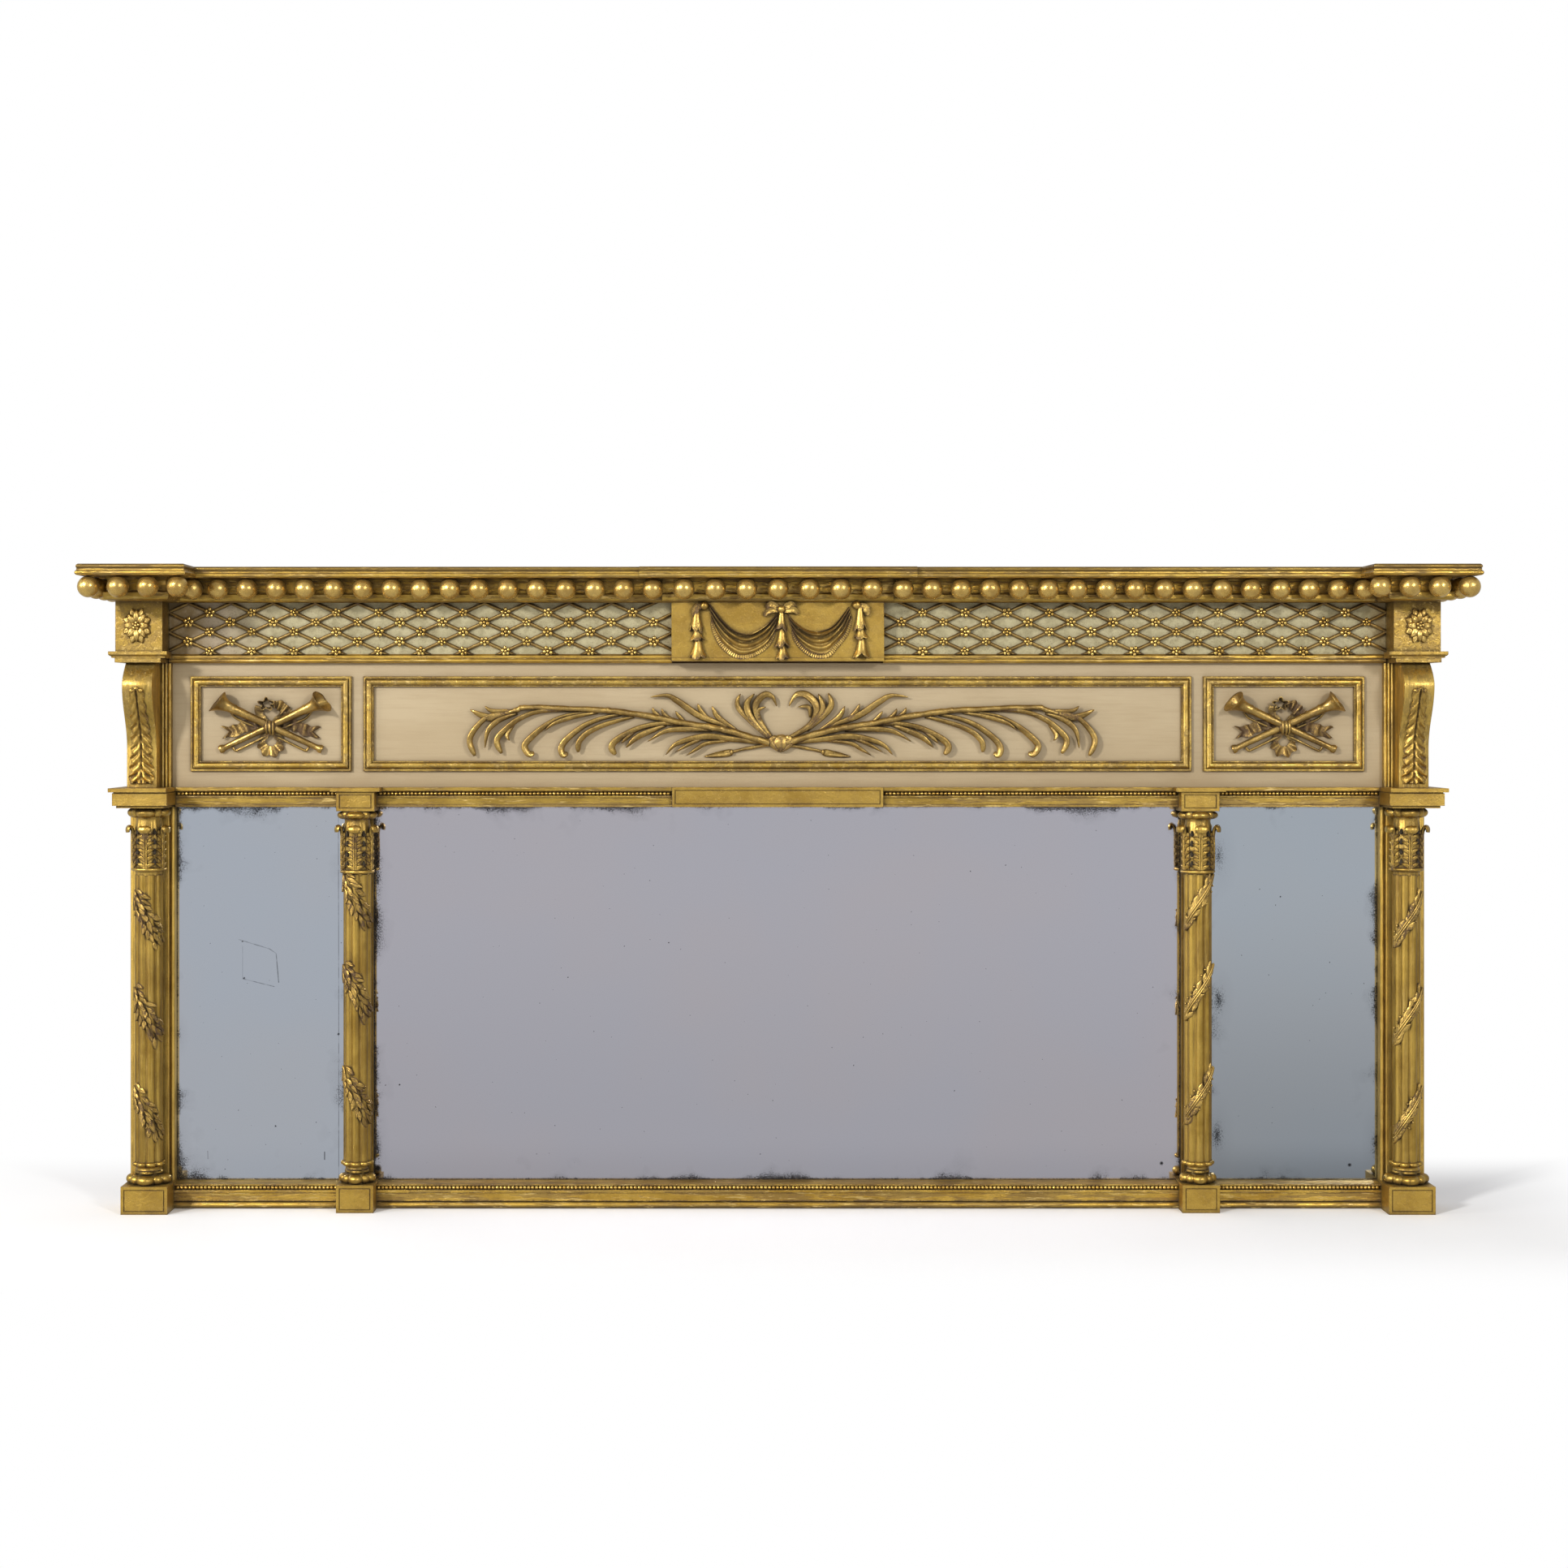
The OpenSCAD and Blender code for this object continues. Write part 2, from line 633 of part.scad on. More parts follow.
// Trophy of two crossed trumpets tied by a ribbon, as long as its panel allows
trophy_x = (small_frame_x0 + small_frame_x1) / 2;
trophy_z = architrave_top + 70.5;
trumpet_angle = 25;
trumpet_l = 0.765 * (small_frame_x1 - small_frame_x0 - 2 * frame_w);
thin_tube_x0 = -0.36 * trumpet_l;
thin_tube_x1 = 0.34 * trumpet_l;
tail_l = 0.415 * trumpet_l;
tail_step = (tail_l - 15) / 12;
trophy_room = trumpet_l;
bell_r = 15.5;
relief = 6;
knot_rise = 4;

module trumpet() {
    rotate([0, 90, 0]) {
        translate([0, 0, -trumpet_l / 2]) cylinder(r = 4.2, h = trumpet_l - 8);
        translate([0, 0, -trumpet_l / 2 - 3]) cylinder(r = 5.4, h = 6);
        translate([0, 0, trumpet_l / 2 - 18]) cylinder(r1 = 4.6, r2 = 8, h = 9.5);
        translate([0, 0, trumpet_l / 2 - 8.5]) cylinder(r1 = 8, r2 = bell_r, h = 5);
        translate([0, 0, trumpet_l / 2 - 3.5]) cylinder(r = bell_r, h = 2);
    }
    translate([thin_tube_x0, 0, -8.5]) rotate([0, 90, 0]) cylinder(r = 1.7, h = thin_tube_x1 - thin_tube_x0);
    for (x = [thin_tube_x0 + 1.3, thin_tube_x1 - 1.3]) translate([x, 0, -8.5]) cylinder(r = 1.7, h = 6);
}

// Ribbon: ruffled loops above and below the knot and forked tails to the sides
module ribbon() {
    for (z = [20, -17]) translate([0, z]) difference() {
        circle(r = 13.5);
        circle(r = 6.5);
    }
    for (s = [-1, 1]) mirror([s < 0 ? 1 : 0, 0]) polygon(concat(
        [for (i = [0 : 12]) [8 + i * tail_step, 5 + 1.6 * sin(i * 75)]],
        [[tail_l, 4], [tail_l - 8, -1], [tail_l, -8]],
        [for (i = [12 : -1 : 0]) [8 + i * tail_step, -6 + 1.6 * sin(i * 75)]]
    ));
}

module trophy(s) color(gilt) from_wall() translate([s * trophy_x, -frieze_d, trophy_z]) {
    intersection() {
        union() {
            translate([0, -relief, knot_rise]) rotate([0, -trumpet_angle, 0]) trumpet();
            translate([0, -relief, knot_rise]) mirror([1, 0, 0]) rotate([0, -trumpet_angle, 0]) trumpet();
            translate([0, -relief - 1, knot_rise]) sphere(r = 9);
        }
        translate([-trophy_room, -trophy_room, -trophy_room])
            cube([2 * trophy_room, trophy_room, 2 * trophy_room]);
    }
    face(0, 4.5) ribbon();
}

// Long palm spray: on each side a curved stem with fronds that bend over it, plumes and a knot in the middle
spray_z = architrave_top + 54.5;
spray_t = 8;
knot_t = 10;
left_reach = 0.97;

// A smooth line through a few points
function on_line(p, i, t) = let (a = p[max(0, i - 1)], b = p[i], c = p[i + 1], d = p[min(len(p) - 1, i + 2)])
    0.5 * (2 * b + (c - a) * t + (2 * a - 5 * b + 4 * c - d) * t * t + (3 * b - a - 3 * c + d) * pow(t, 3));
function smooth(p, steps) = concat(
    [for (i = [0 : len(p) - 2]) for (j = [0 : steps - 1]) on_line(p, i, j / steps)], [p[len(p) - 1]]
);

// Width of a frond along its length: slender at the root, full in the middle, almost a point at the tip
function frond_width(t) = 0.45 * (1 - t) + 0.12 * t + 0.75 * sin(180 * t);

module frond(points, w) {
    line = smooth(points, 3);
    last = len(line) - 1;
    half = [for (i = [0 : last])
        let (run = line[min(last, i + 1)] - line[max(0, i - 1)])
            w / 2 * frond_width(i / last) * [-run.y, run.x] / norm(run)];
    polygon(concat(line - half, [for (i = [last : -1 : 0]) line[i] + half[i]]));
}

module stem(points, w) {
    line = smooth(points, 2);
    last = len(line) - 1;
    half = [for (i = [0 : last])
        let (run = line[min(last, i + 1)] - line[max(0, i - 1)]) w / 2 * [-run.y, run.x] / norm(run)];
    polygon(concat(line - half, [for (i = [last : -1 : 0]) line[i] + half[i]]));
}

main_stem = [[10, -1], [57, 12.7], [81, 17.8], [116.5, 23], [159, 31.5], [205, 38], [226, 39.5],
    [311, 42.5], [326.5, 39.5], [341.6, 35]];

// Fronds that bend down from the stem, from the knot outwards: the line of each and its width
hanging_fronds = [
    [[[8, -2], [57, 4], [91, 7], [125, -1], [140, -15]], 5.5],
    [[[57, 2], [88, -1], [101, -8], [114, -16]], 3.4],
    [[[82, 14], [108, 16], [139, 14], [162.5, 1]], 4.4],
    [[[116.5, 20], [142, 23], [168, 19], [188, 11], [204, 1], [208, -7], [203, -15]], 7],
    [[[139, 21], [173, 8], [190, -6.5]], 5],
    [[[180, 31], [198, 27], [221, 20], [239, 11], [249, 0], [250, -12]], 6],
    [[[196, 34], [221, 29], [243, 20], [263, 5], [271, -6], [269, -15]], 7],
    [[[225, 36], [251, 32], [278, 24], [292, 14]], 3.6],
    [[[228, 37], [266, 32], [290, 21], [307, 8], [317, -4], [311, -14]], 7],
    [[[251, 39], [296, 38], [323.5, 29], [342, 15], [352, 2], [346, -13.5]], 6.5],
    [[[326.5, 35], [349, 27], [363, 14], [367, -7]], 4.5],
    [[[334, 36], [361, 32], [378, 18], [386, 2], [379.5, -16.5]], 6],
];

// Leaves that stand up from the stem, and its two end leaves
standing_leaves = [
    [[[47, 12], [74, 23], [99.5, 33], [125, 50], [139, 57], [159, 55]], 6.5],
    [[[48, 12], [74, 30], [82, 44]], 5],
    [[[82.5, 24], [96, 38], [100, 47]], 4],
    [[[113, 22], [123, 31], [128, 38]], 3.6],
    [[[128, 25], [142, 34], [145, 41]], 3.6],
    [[[142, 29], [154, 36], [156.5, 42.5]], 3.6],
    [[[336, 36], [361, 30], [385.5, 39.5]], 7],
    [[[328, 39], [357, 38], [367, 44]], 4],
];
right_plumes = [
    [[[8, 2], [40, 21], [48, 42], [36.5, 57], [23, 58], [14, 46]], 7],
    [[[34, 15], [55, 38], [50, 59]], 6],
    [[[36, 14], [64, 42], [62, 60]], 6],
];
left_plumes = [
    [[[-4, 2], [-21, 25], [-26.5, 45], [-16, 58], [-6, 55], [-2, 46]], 6],
    [[[-8, 4], [-32, 30], [-37, 47], [-28, 59]], 7],
    [[[-10, 4], [-42, 35], [-49, 48.5], [-45, 59]], 5],
];
spear = [[[6, -2], [40, -8], [56, -12], [89, -17.5]], 7];

module palm_spray() color(gilt) from_wall() translate([0, 0, spray_z]) {
    for (s = [-1, 1]) side(s) face(frieze_d, frieze_d + spray_t)
        for (leaf = concat(hanging_fronds, standing_leaves, [spear]))
            frond([for (p = leaf[0]) [p.x * (s < 0 ? left_reach : 1), p.y]], leaf[1]);
    for (s = [-1, 1]) side(s) face(frieze_d, frieze_d + spray_t - 1)
        stem([for (p = main_stem) [p.x * (s < 0 ? left_reach : 1), p.y]], 4.2);
    face(frieze_d, frieze_d + knot_t - 1)
        for (leaf = concat(left_plumes, right_plumes)) frond(leaf[0], leaf[1]);
    face(frieze_d, frieze_d + knot_t) translate([-8, -8.5]) square([24, 15]);
}

// Consoles: an S-shaped scroll between the architrave block and the sub-plate, with a leaf on its front
console_z0 = architrave_top;
console_foot_d = 59;
console_belly_d = 84;
belly_z = 0.82;

foot_share = 0.32;

function rise(t) = pow(sin(90 * max(0, (t - foot_share) / (belly_z - foot_share))), 2);
function swell(t) = t < belly_z
    ? console_foot_d + (console_belly_d - console_foot_d) * rise(t)
    : console_belly_d - 20 * pow((t - belly_z) / (1 - belly_z), 1.6);

module console_profile(t0, t1, add) polygon(concat(
    [[carcass_t, console_z0 + t0 * frieze_h]],
    [for (i = [0 : 28]) let (t = t0 + (t1 - t0) * i / 28) [swell(t) + add, console_z0 + t * frieze_h]],
    [[carcass_t, console_z0 + t1 * frieze_h]]
));

module console(s) color(gilt) from_wall() side(s) {
    run_x(console_x0, console_x1) console_profile(0, 1, 0);
    translate([(console_x0 + console_x1) / 2, 0, 0]) run_x(-leaf_strip_w / 2, leaf_strip_w / 2)
        console_profile(0.06, 0.79, 3);
    for (x = [strip_x0 + strip_reed_r : 2 * strip_reed_r : strip_x1 - strip_reed_r + 0.1])
        translate([x, -frieze_d - strip_t, console_z0]) cylinder(r = strip_reed_r, h = frieze_h, $fn = 24);
    slab(strip_x0, strip_x1, frieze_d, frieze_d + strip_t, console_z0, console_z0 + frieze_h);
}

// Moulding between the painted frieze and the latticed band
module frieze_moulding() color(gilt) from_wall()
    for (s = [-1, 1]) side(s) run_x(upper_tablet_x, block_x0) translate([0, frieze_top]) {
        polygon([
            [carcass_t, 0], [lattice_ground_d + 1, 0],
            [lattice_ground_d + 3, 5], [lattice_ground_d + 3, 6.2],
            [lattice_ground_d + 4.5, 6.2], [lattice_ground_d + 4.5, 8.8],
            [lattice_ground_d + 1, lattice_moulding_h], [carcass_t, lattice_moulding_h]
        ]);
        translate([lattice_ground_d + 1.4, 3]) circle(r = 2.6);
    }

// Blocks at the ends of the band, with an oval rosette, over a moulded sub-plate

// A petal: two arcs that meet in points
module blade(root, tip, w) {
    run = tip - root;
    len = norm(run);
    r = (len * len / 4 + w * w / 4) / w;
    translate(root) rotate(atan2(run.y, run.x)) intersection() {
        translate([len / 2, r - w / 2]) circle(r = r, $fn = 96);
        translate([len / 2, w / 2 - r]) circle(r = r, $fn = 96);
    }
}

module oval_petals(count, turn, long, wide, w) for (i = [0 : count - 1])
    let (a = turn + i * 360 / count) blade([0, 0], [wide * sin(a), long * cos(a)], w);

module sub_plate_section(deep) {
    translate([-deep, sub_plate_z0]) polygon([[0, 0], [deep - 5, 0], [deep, 4], [deep, 7.7], [0, 7.7]]);
    translate([-2.8, sub_plate_z0 + 4.9]) circle(r = 2.8);
}

module rosette_block(s) color(gilt) from_wall() side(s) {
    difference() {
        union() {
            slab(block_x0 + 1.5, block_x1, 0, block_d + 3, frieze_top, sub_plate_z0);
            slab(block_x0, block_x1, 0, block_d, sub_plate_z1, band_top);
            slab(sub_plate_x0 + 3, sub_plate_x1 - 3, 0, sub_plate_d - 3, sub_plate_z0, sub_plate_z1);
            front_run(sub_plate_x0, sub_plate_x1, sub_plate_d, 10, frieze_top, band_top, 0, 1)
                sub_plate_section(10);
            side_run(sub_plate_x1, 0, sub_plate_d, 10, frieze_top, band_top, 0, 1) sub_plate_section(10);
        }
        carcass_space();
        slab(sub_plate_x0 - 1, block_x0, -1, 42, frieze_top - 1, band_top + 1);
    }
    translate([(block_x0 + block_x1) / 2 + 2, 0, (sub_plate_z1 + band_top) / 2 + 1.5]) {
        face(block_d, block_d + 2) oval_petals(8, 22.5, 21.7, 16.7, 6);
        face(block_d, block_d + 3.6) oval_petals(8, 0, 19, 14.6, 6.4);
        translate([0, -block_d - 2, 0]) sphere(r = 4);
    }
}

// Silvered boards with the gilt lattice, its crossings marked by small rosettes

module lattice_board() color(silvered) from_wall()
    for (s = [-1, 1]) side(s)
        slab(upper_tablet_x, block_x0, carcass_t, lattice_ground_d, band_bottom, band_top);

lattice_angle = atan(2 * lattice_row / lattice_pitch);
lattice_reed_l = 2.2 * lattice_h / sin(lattice_angle);
first_crossing = upper_tablet_x + 47.8;
row_count = 6;
cross_r = 4.4;

module lattice_reeds() intersection() {
    translate([upper_tablet_x, band_bottom]) square([block_x0 - upper_tablet_x, lattice_h]);
    for (k = [-2 : 13]) for (m = [-1, 1])
        translate([first_crossing + k * lattice_pitch, band_bottom + 3.6]) rotate(m * lattice_angle)
            translate([-lattice_reed_l / 2, -lattice_w / 2]) square([lattice_reed_l, lattice_w]);
}

module crossing() {
    for (a = [45 : 90 : 315]) rotate(a) translate([cross_r * 0.5, 0]) circle(r = cross_r * 0.5, $fn = 24);
    circle(r = cross_r * 0.4);
}

module lattice() color(gilt) from_wall() for (s = [-1, 1]) side(s) {
    face(lattice_ground_d, lattice_ground_d + lattice_reed_t) lattice_reeds();
    for (row = [0 : row_count - 2]) {
        shift = row % 2 == 0 ? 0 : -lattice_pitch / 2;
        last = row % 2 == 0 ? 10 : 11;
        for (k = [0 : last]) if (first_crossing + shift + k * lattice_pitch < block_x0 - cross_r)
            translate([first_crossing + shift + k * lattice_pitch, 0, band_bottom + 3.6 + row * lattice_row])
                face(lattice_ground_d + lattice_reed_t, lattice_ground_d + lattice_reed_t + 2) crossing();
    }
}

// Centre tablet of the band with its cloth swag

module centre_tablet() color(gilt) from_wall() {
    slab(-upper_tablet_x, upper_tablet_x, carcass_t, tablet_d, frieze_top + 2, band_top);
    slab(-upper_tablet_x, upper_tablet_x, tablet_d, tablet_d + 1, frieze_top + 2, frieze_top + 6);
}

swag_top = band_top - 4;
swag_room = 40;
nail_x = 91.5;
drop_x = 97;

// Upper and lower edge of one length of cloth, from the bow to the nail
cloth_upper = [[3, -9.6], [14, -18.6], [27, -27.6], [44, -33], [61, -30.6], [76, -18.6], [88, 2.4]];
cloth_lower = [[5, -16.6], [14, -34.6], [25, -52.6], [43, -64.8], [60, -63.6], [75, -44.6], [87, -10.6]];

// A fold is the part of the cloth between two shares of its hang
function cloth_line(share) = smooth([for (i = [0 : len(cloth_upper) - 1])
    cloth_upper[i] * (1 - share) + cloth_lower[i] * share], 3);

module fold(from, to) {
    upper = cloth_line(from);
    lower = cloth_line(to);
    polygon(concat(upper, [for (i = [len(lower) - 1 : -1 : 0]) lower[i]]));
}

// A drop of three bell flowers, each a cone that is cut flat at the back
module bellflower(x, top, bottom, r) translate([x, -tablet_d - 2, swag_top + bottom])
    cylinder(r1 = r, r2 = r * 0.35, h = top - bottom, $fn = 24);

module swag() color(gilt) from_wall() {
    for (s = [-1, 1]) side(s) translate([0, 0, swag_top]) {
        face(tablet_d + 1, tablet_d + 4) fold(0, 1);
        face(tablet_d + 4, tablet_d + 7) fold(0.06, 0.72);
        face(tablet_d + 7, tablet_d + 10) fold(0.14, 0.46);
        face(tablet_d, tablet_d + 8) translate([nail_x, 1]) circle(r = 3.4);
        translate([nail_x, -tablet_d - 8, 1]) sphere(r = 4.8);
    }
    face(tablet_d, tablet_d + 7) translate([0, swag_top]) {
        for (s = [-1, 1]) mirror([s < 0 ? 1 : 0, 0]) {
            frond([[0, -4], [9, 2], [19, 3]], 8);
            frond([[0, -4], [11, -6], [19, -11]], 7);
        }
    }
    face(tablet_d, tablet_d + 9) translate([0, swag_top - 4]) circle(r = 4.4);
    intersection() {
        union() {
            for (x = [-drop_x, drop_x]) {
                bellflower(x, -1, -31, 8);
                bellflower(x, -24.6, -42.6, 9);
                bellflower(x, -38.6, -63, 10);
            }
            bellflower(0, -6, -30, 8);
            bellflower(0, -26, -50, 9.5);
            bellflower(0, -45, -64, 9);
        }
        slab(-upper_tablet_x, upper_tablet_x, tablet_d, tablet_d + swag_room, frieze_top, cornice_top);
    }
}

// Cornice: two reeds with a groove between over a bed that carries the balls

module crown_section(deep) {
    translate([-deep, crown_bottom]) square([deep - 3, crown_h]);
    translate([-3, crown_bottom + 3]) circle(r = 3);
    translate([-4.2, crown_bottom + 10.5]) circle(r = 3);
    translate([-6, crown_bottom + 5]) square([4.2, 3]);
}

module bed_section(deep) {
    polygon(concat(
        [[-deep, band_top]],
        arc(-5, band_top + 5, 5, -90, 0, 8),
        [[0, band_top + 9], [-1, band_top + 10], [-bed_set_back, band_top + 10]],
        [[-bed_set_back, crown_bottom - 3], [-2.5, crown_bottom - 3], [-2.5, crown_bottom]],
        [[-deep, crown_bottom]]
    ));
}

module cornice_end(s) color(gilt) from_wall() side(s) difference() {
    union() {
        slab(end_crown_x0 + 10, end_crown_x1 - 10, 0, cornice_end_d - 10, crown_bottom, cornice_top);
        front_run(end_crown_x0, end_crown_x1, cornice_end_d, 14, crown_bottom, cornice_top, 1, 1)
            crown_section(14);
        side_run(end_crown_x1, 0, cornice_end_d, 14, crown_bottom, cornice_top, 0, 1) crown_section(14);
        mirror([1, 0, 0]) side_run(-end_crown_x0, cornice_run_d, cornice_end_d, 14,
            crown_bottom, cornice_top, -1, 1) crown_section(14);
        slab(end_bed_x0 + 8, end_bed_x1 - 8, 0, end_bed_d - 8, band_top, crown_bottom);
        slab(end_bed_x0, end_bed_x1 - 8, 0, run_bed_d, band_top, crown_bottom);
        front_run(end_bed_x0, end_bed_x1, end_bed_d, 12, band_top, crown_bottom, 1, 1) bed_section(12);
        side_run(end_bed_x1, 0, end_bed_d, 12, band_top, crown_bottom, 0, 1) bed_section(12);
        mirror([1, 0, 0]) side_run(-end_bed_x0, run_bed_d, end_bed_d, 12,
            band_top, crown_bottom, 0, 1) bed_section(12);
    }
    carcass_space();
    translate([0, 0, crown_bottom - 1]) linear_extrude(crown_h + 2) polygon([
        [end_crown_x0 - 1, 1], [end_crown_x0 - 1, -cornice_run_d], [end_crown_x0, -cornice_run_d],
        [end_crown_x0 + 14, 14 - cornice_run_d], [end_crown_x0 + 14, 1]
    ]);
}

module cornice_run() color(gilt) from_wall() {
    slab(-end_crown_x0 - 14, end_crown_x0 + 14, 0, cornice_run_d - 10, crown_bottom, cornice_top);
    for (s = [-1, 1]) side(s)
        front_run(centre_crown_x, end_crown_x0, cornice_run_d, 14, crown_bottom, cornice_top, 0, -1)
            crown_section(14);
    front_run(-centre_crown_x, centre_crown_x, cornice_run_d + centre_break, 14,
        crown_bottom, cornice_top, 0, 0) crown_section(14);
    run_x(-end_bed_x0, end_bed_x0) translate([run_bed_d, 0]) bed_section(run_bed_d - carcass_t);
    run_x(-centre_bed_x, centre_bed_x) translate([run_bed_d + centre_break, 0]) bed_section(14);
}

module ball(x, d) translate([x, -d, ball_z]) sphere(d = ball_dia);

// Each ball is pinned to the bed by a short dowel
dowel_reach = ball_dia / 2 + ball_gap + bed_set_back;
dowel_l = ball_gap + bed_set_back + 2;

module front_ball(x, d) {
    ball(x, d);
    translate([x, dowel_reach - d, ball_z]) rotate([90, 0, 0]) cylinder(r = 3, h = dowel_l);
}

module side_ball(x, d) {
    ball(x, d);
    translate([x - dowel_reach, -d, ball_z]) rotate([0, 90, 0]) cylinder(r = 3, h = dowel_l);
}

end_ball_pitch = (end_ball_x1 - end_ball_x0) / 3;
return_pitch = 38;
return_balls = 3;
tucked_ball_x = end_ball_x0 - 4.5;

module cornice_balls() color(burnished) from_wall() {
    for (i = [-3 : 3]) front_ball(i * centre_ball_pitch, run_ball_d + centre_break);
    for (s = [-1, 1]) side(s) {
        for (i = [0 : floor((end_ball_x0 - 10 - first_ball_x) / ball_pitch)])
            front_ball(first_ball_x + i * ball_pitch, run_ball_d);
        front_ball(tucked_ball_x, run_ball_d);
        for (i = [1 : 2]) front_ball(end_ball_x0 + i * end_ball_pitch, end_ball_d);
        ball(end_ball_x0, end_ball_d);
        ball(end_ball_x1, end_ball_d);
        for (i = [1 : return_balls]) side_ball(end_ball_x1, end_ball_d - i * return_pitch);
    }
}

carcass_stile(-1);  // carcass_stile_left
carcass_stile(1);  // carcass_stile_right
carcass_rail_bottom();
carcass_rail_middle();
carcass_rail_top();
muntin(-1);  // muntin_left
muntin(1);  // muntin_right
backboards();
mirror_plate_side(-1);  // mirror_plate_left
mirror_plate_centre();
mirror_plate_side(1);  // mirror_plate_right
glass_blocks();
hanging_plates();
hanging_screws();
bottom_rail();
pearl_beading();
stile_moulding(-1);  // stile_moulding_left
stile_moulding(1);  // stile_moulding_right
architrave_rail();
architrave_tablet();
architrave_block_outer(-1);  // architrave_block_outer_left
architrave_block_outer(1);  // architrave_block_outer_right
architrave_block_inner(-1);  // architrave_block_inner_left
architrave_block_inner(1);  // architrave_block_inner_right
plinth_outer(-1);  // plinth_outer_left
plinth_outer(1);  // plinth_outer_right
plinth_inner(-1);  // plinth_inner_left
plinth_inner(1);  // plinth_inner_right
column_base_outer(-1);  // column_base_outer_left
column_base_outer(1);  // column_base_outer_right
column_base_inner(-1);  // column_base_inner_left
column_base_inner(1);  // column_base_inner_right
column_shaft_outer(-1);  // column_shaft_outer_left
column_shaft_outer(1);  // column_shaft_outer_right
column_shaft_inner(-1);  // column_shaft_inner_left
column_shaft_inner(1);  // column_shaft_inner_right
capital_outer(-1);  // capital_outer_left
capital_outer(1);  // capital_outer_right
capital_inner(-1);  // capital_inner_left
capital_inner(1);  // capital_inner_right
frieze_board();
frieze_frame_side(-1);  // frieze_frame_left
frieze_frame_centre();
frieze_frame_side(1);  // frieze_frame_right
trophy(-1);  // trophy_left
trophy(1);  // trophy_right
palm_spray();
console(-1);  // console_left
console(1);  // console_right
frieze_moulding();
rosette_block(-1);  // rosette_block_left
rosette_block(1);  // rosette_block_right
lattice_board();
lattice();
centre_tablet();
swag();
cornice_end(-1);  // cornice_end_left
cornice_end(1);  // cornice_end_right
cornice_run();
cornice_balls();
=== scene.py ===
import math

import bmesh
import bpy
import numpy as np
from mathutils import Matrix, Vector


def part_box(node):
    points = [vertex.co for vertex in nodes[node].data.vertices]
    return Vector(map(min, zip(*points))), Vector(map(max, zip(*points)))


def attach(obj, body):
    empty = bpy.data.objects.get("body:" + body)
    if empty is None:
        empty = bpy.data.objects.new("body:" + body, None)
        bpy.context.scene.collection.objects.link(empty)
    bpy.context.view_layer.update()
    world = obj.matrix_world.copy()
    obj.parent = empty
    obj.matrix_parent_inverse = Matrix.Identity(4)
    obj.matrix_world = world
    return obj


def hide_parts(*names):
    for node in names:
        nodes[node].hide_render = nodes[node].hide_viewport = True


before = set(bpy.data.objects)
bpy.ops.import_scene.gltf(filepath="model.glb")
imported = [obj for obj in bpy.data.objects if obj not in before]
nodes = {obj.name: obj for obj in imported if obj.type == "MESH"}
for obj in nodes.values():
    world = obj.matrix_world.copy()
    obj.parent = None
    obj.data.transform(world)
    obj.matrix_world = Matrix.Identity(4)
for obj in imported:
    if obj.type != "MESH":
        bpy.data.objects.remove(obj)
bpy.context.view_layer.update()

# Pine carcass: stiles, rails, bars between the plates, backboards and the wedge blocks behind the glass.
# Plain sawn pine, nailed and glued, left bare and darkened by age on the back.
PINE_ACROSS = ["carcass_rail_bottom", "carcass_rail_middle", "carcass_rail_top", "backboards", "glass_blocks"]
PINE_UPRIGHT = ["carcass_stile_left", "carcass_stile_right"]


def math_step(operation, turned=False):
    """A method that lays down a Math node of the operation on its object and the other sides, or with the
    object last when turned."""
    def method(shade, *others):
        """Lays the node down and gives its result."""
        sides = (*others, shade) if turned else (shade, *others)
        return Shade(lay_node(shade.tree, "Math", dict(enumerate(sides)), operation=operation).outputs[0])
    return method


class Shade:
    """A value that runs through a node tree. Arithmetic on it lays down Math nodes that take both sides."""

    __add__, __sub__, __mul__, __truediv__ = map(math_step, ("ADD", "SUBTRACT", "MULTIPLY", "DIVIDE"))
    __rsub__ = math_step("SUBTRACT", True)
    __pow__, __abs__, root = map(math_step, ("POWER", "ABSOLUTE", "SQRT"))
    most, least, above = map(math_step, ("MAXIMUM", "MINIMUM", "GREATER_THAN"))

    def __init__(self, socket):
        """Keeps the socket that gives the value, and its tree."""
        self.socket = socket
        self.tree = socket.id_data

    def held(self):
        """The last step's result, held between 0 and 1."""
        self.socket.node.use_clamp = True
        return self


def feed(socket, value):
    """Gives a socket a shade, a colour or a plain value."""
    if isinstance(value, Shade):
        value.tree.links.new(value.socket, socket)
    else:
        socket.default_value = (*value, 1.0) if socket.type == "RGBA" else value


def lay_node(tree, kind, values, **settings):
    """A new node with its settings, and values on its inputs by name or number."""
    node = tree.nodes.new("ShaderNode" + kind)
    for setting, value in settings.items():
        setattr(node, setting, value)
    for label, value in values.items():
        feed(node.inputs[label], value)
    return node


def ramp(value, low, high, to_low=0.0, to_high=1.0):
    """The value carried from the range low..high to to_low..to_high, eased at both ends."""
    ends = {"Value": value, "From Min": low, "From Max": high, "To Min": to_low, "To Max": to_high}
    return Shade(lay_node(value.tree, "MapRange", ends, interpolation_type="SMOOTHSTEP").outputs["Result"])


def layered(colour, *coats):
    """The colour under coats of (share, tone), laid one after another."""
    for share, tone in coats:
        mix = lay_node(share.tree, "Mix", {0: share, 6: colour, 7: tone}, data_type="RGBA")
        colour = Shade(mix.outputs[2])
    return colour


def on_object(tree, stretch=(1.0, 1.0, 1.0)):
    """Object coordinates in metres, times stretch along each axis."""
    place = Shade(tree.nodes.new("ShaderNodeTexCoord").outputs["Object"])
    return Shade(lay_node(tree, "Mapping", {"Vector": place, "Scale": stretch}).outputs["Vector"])


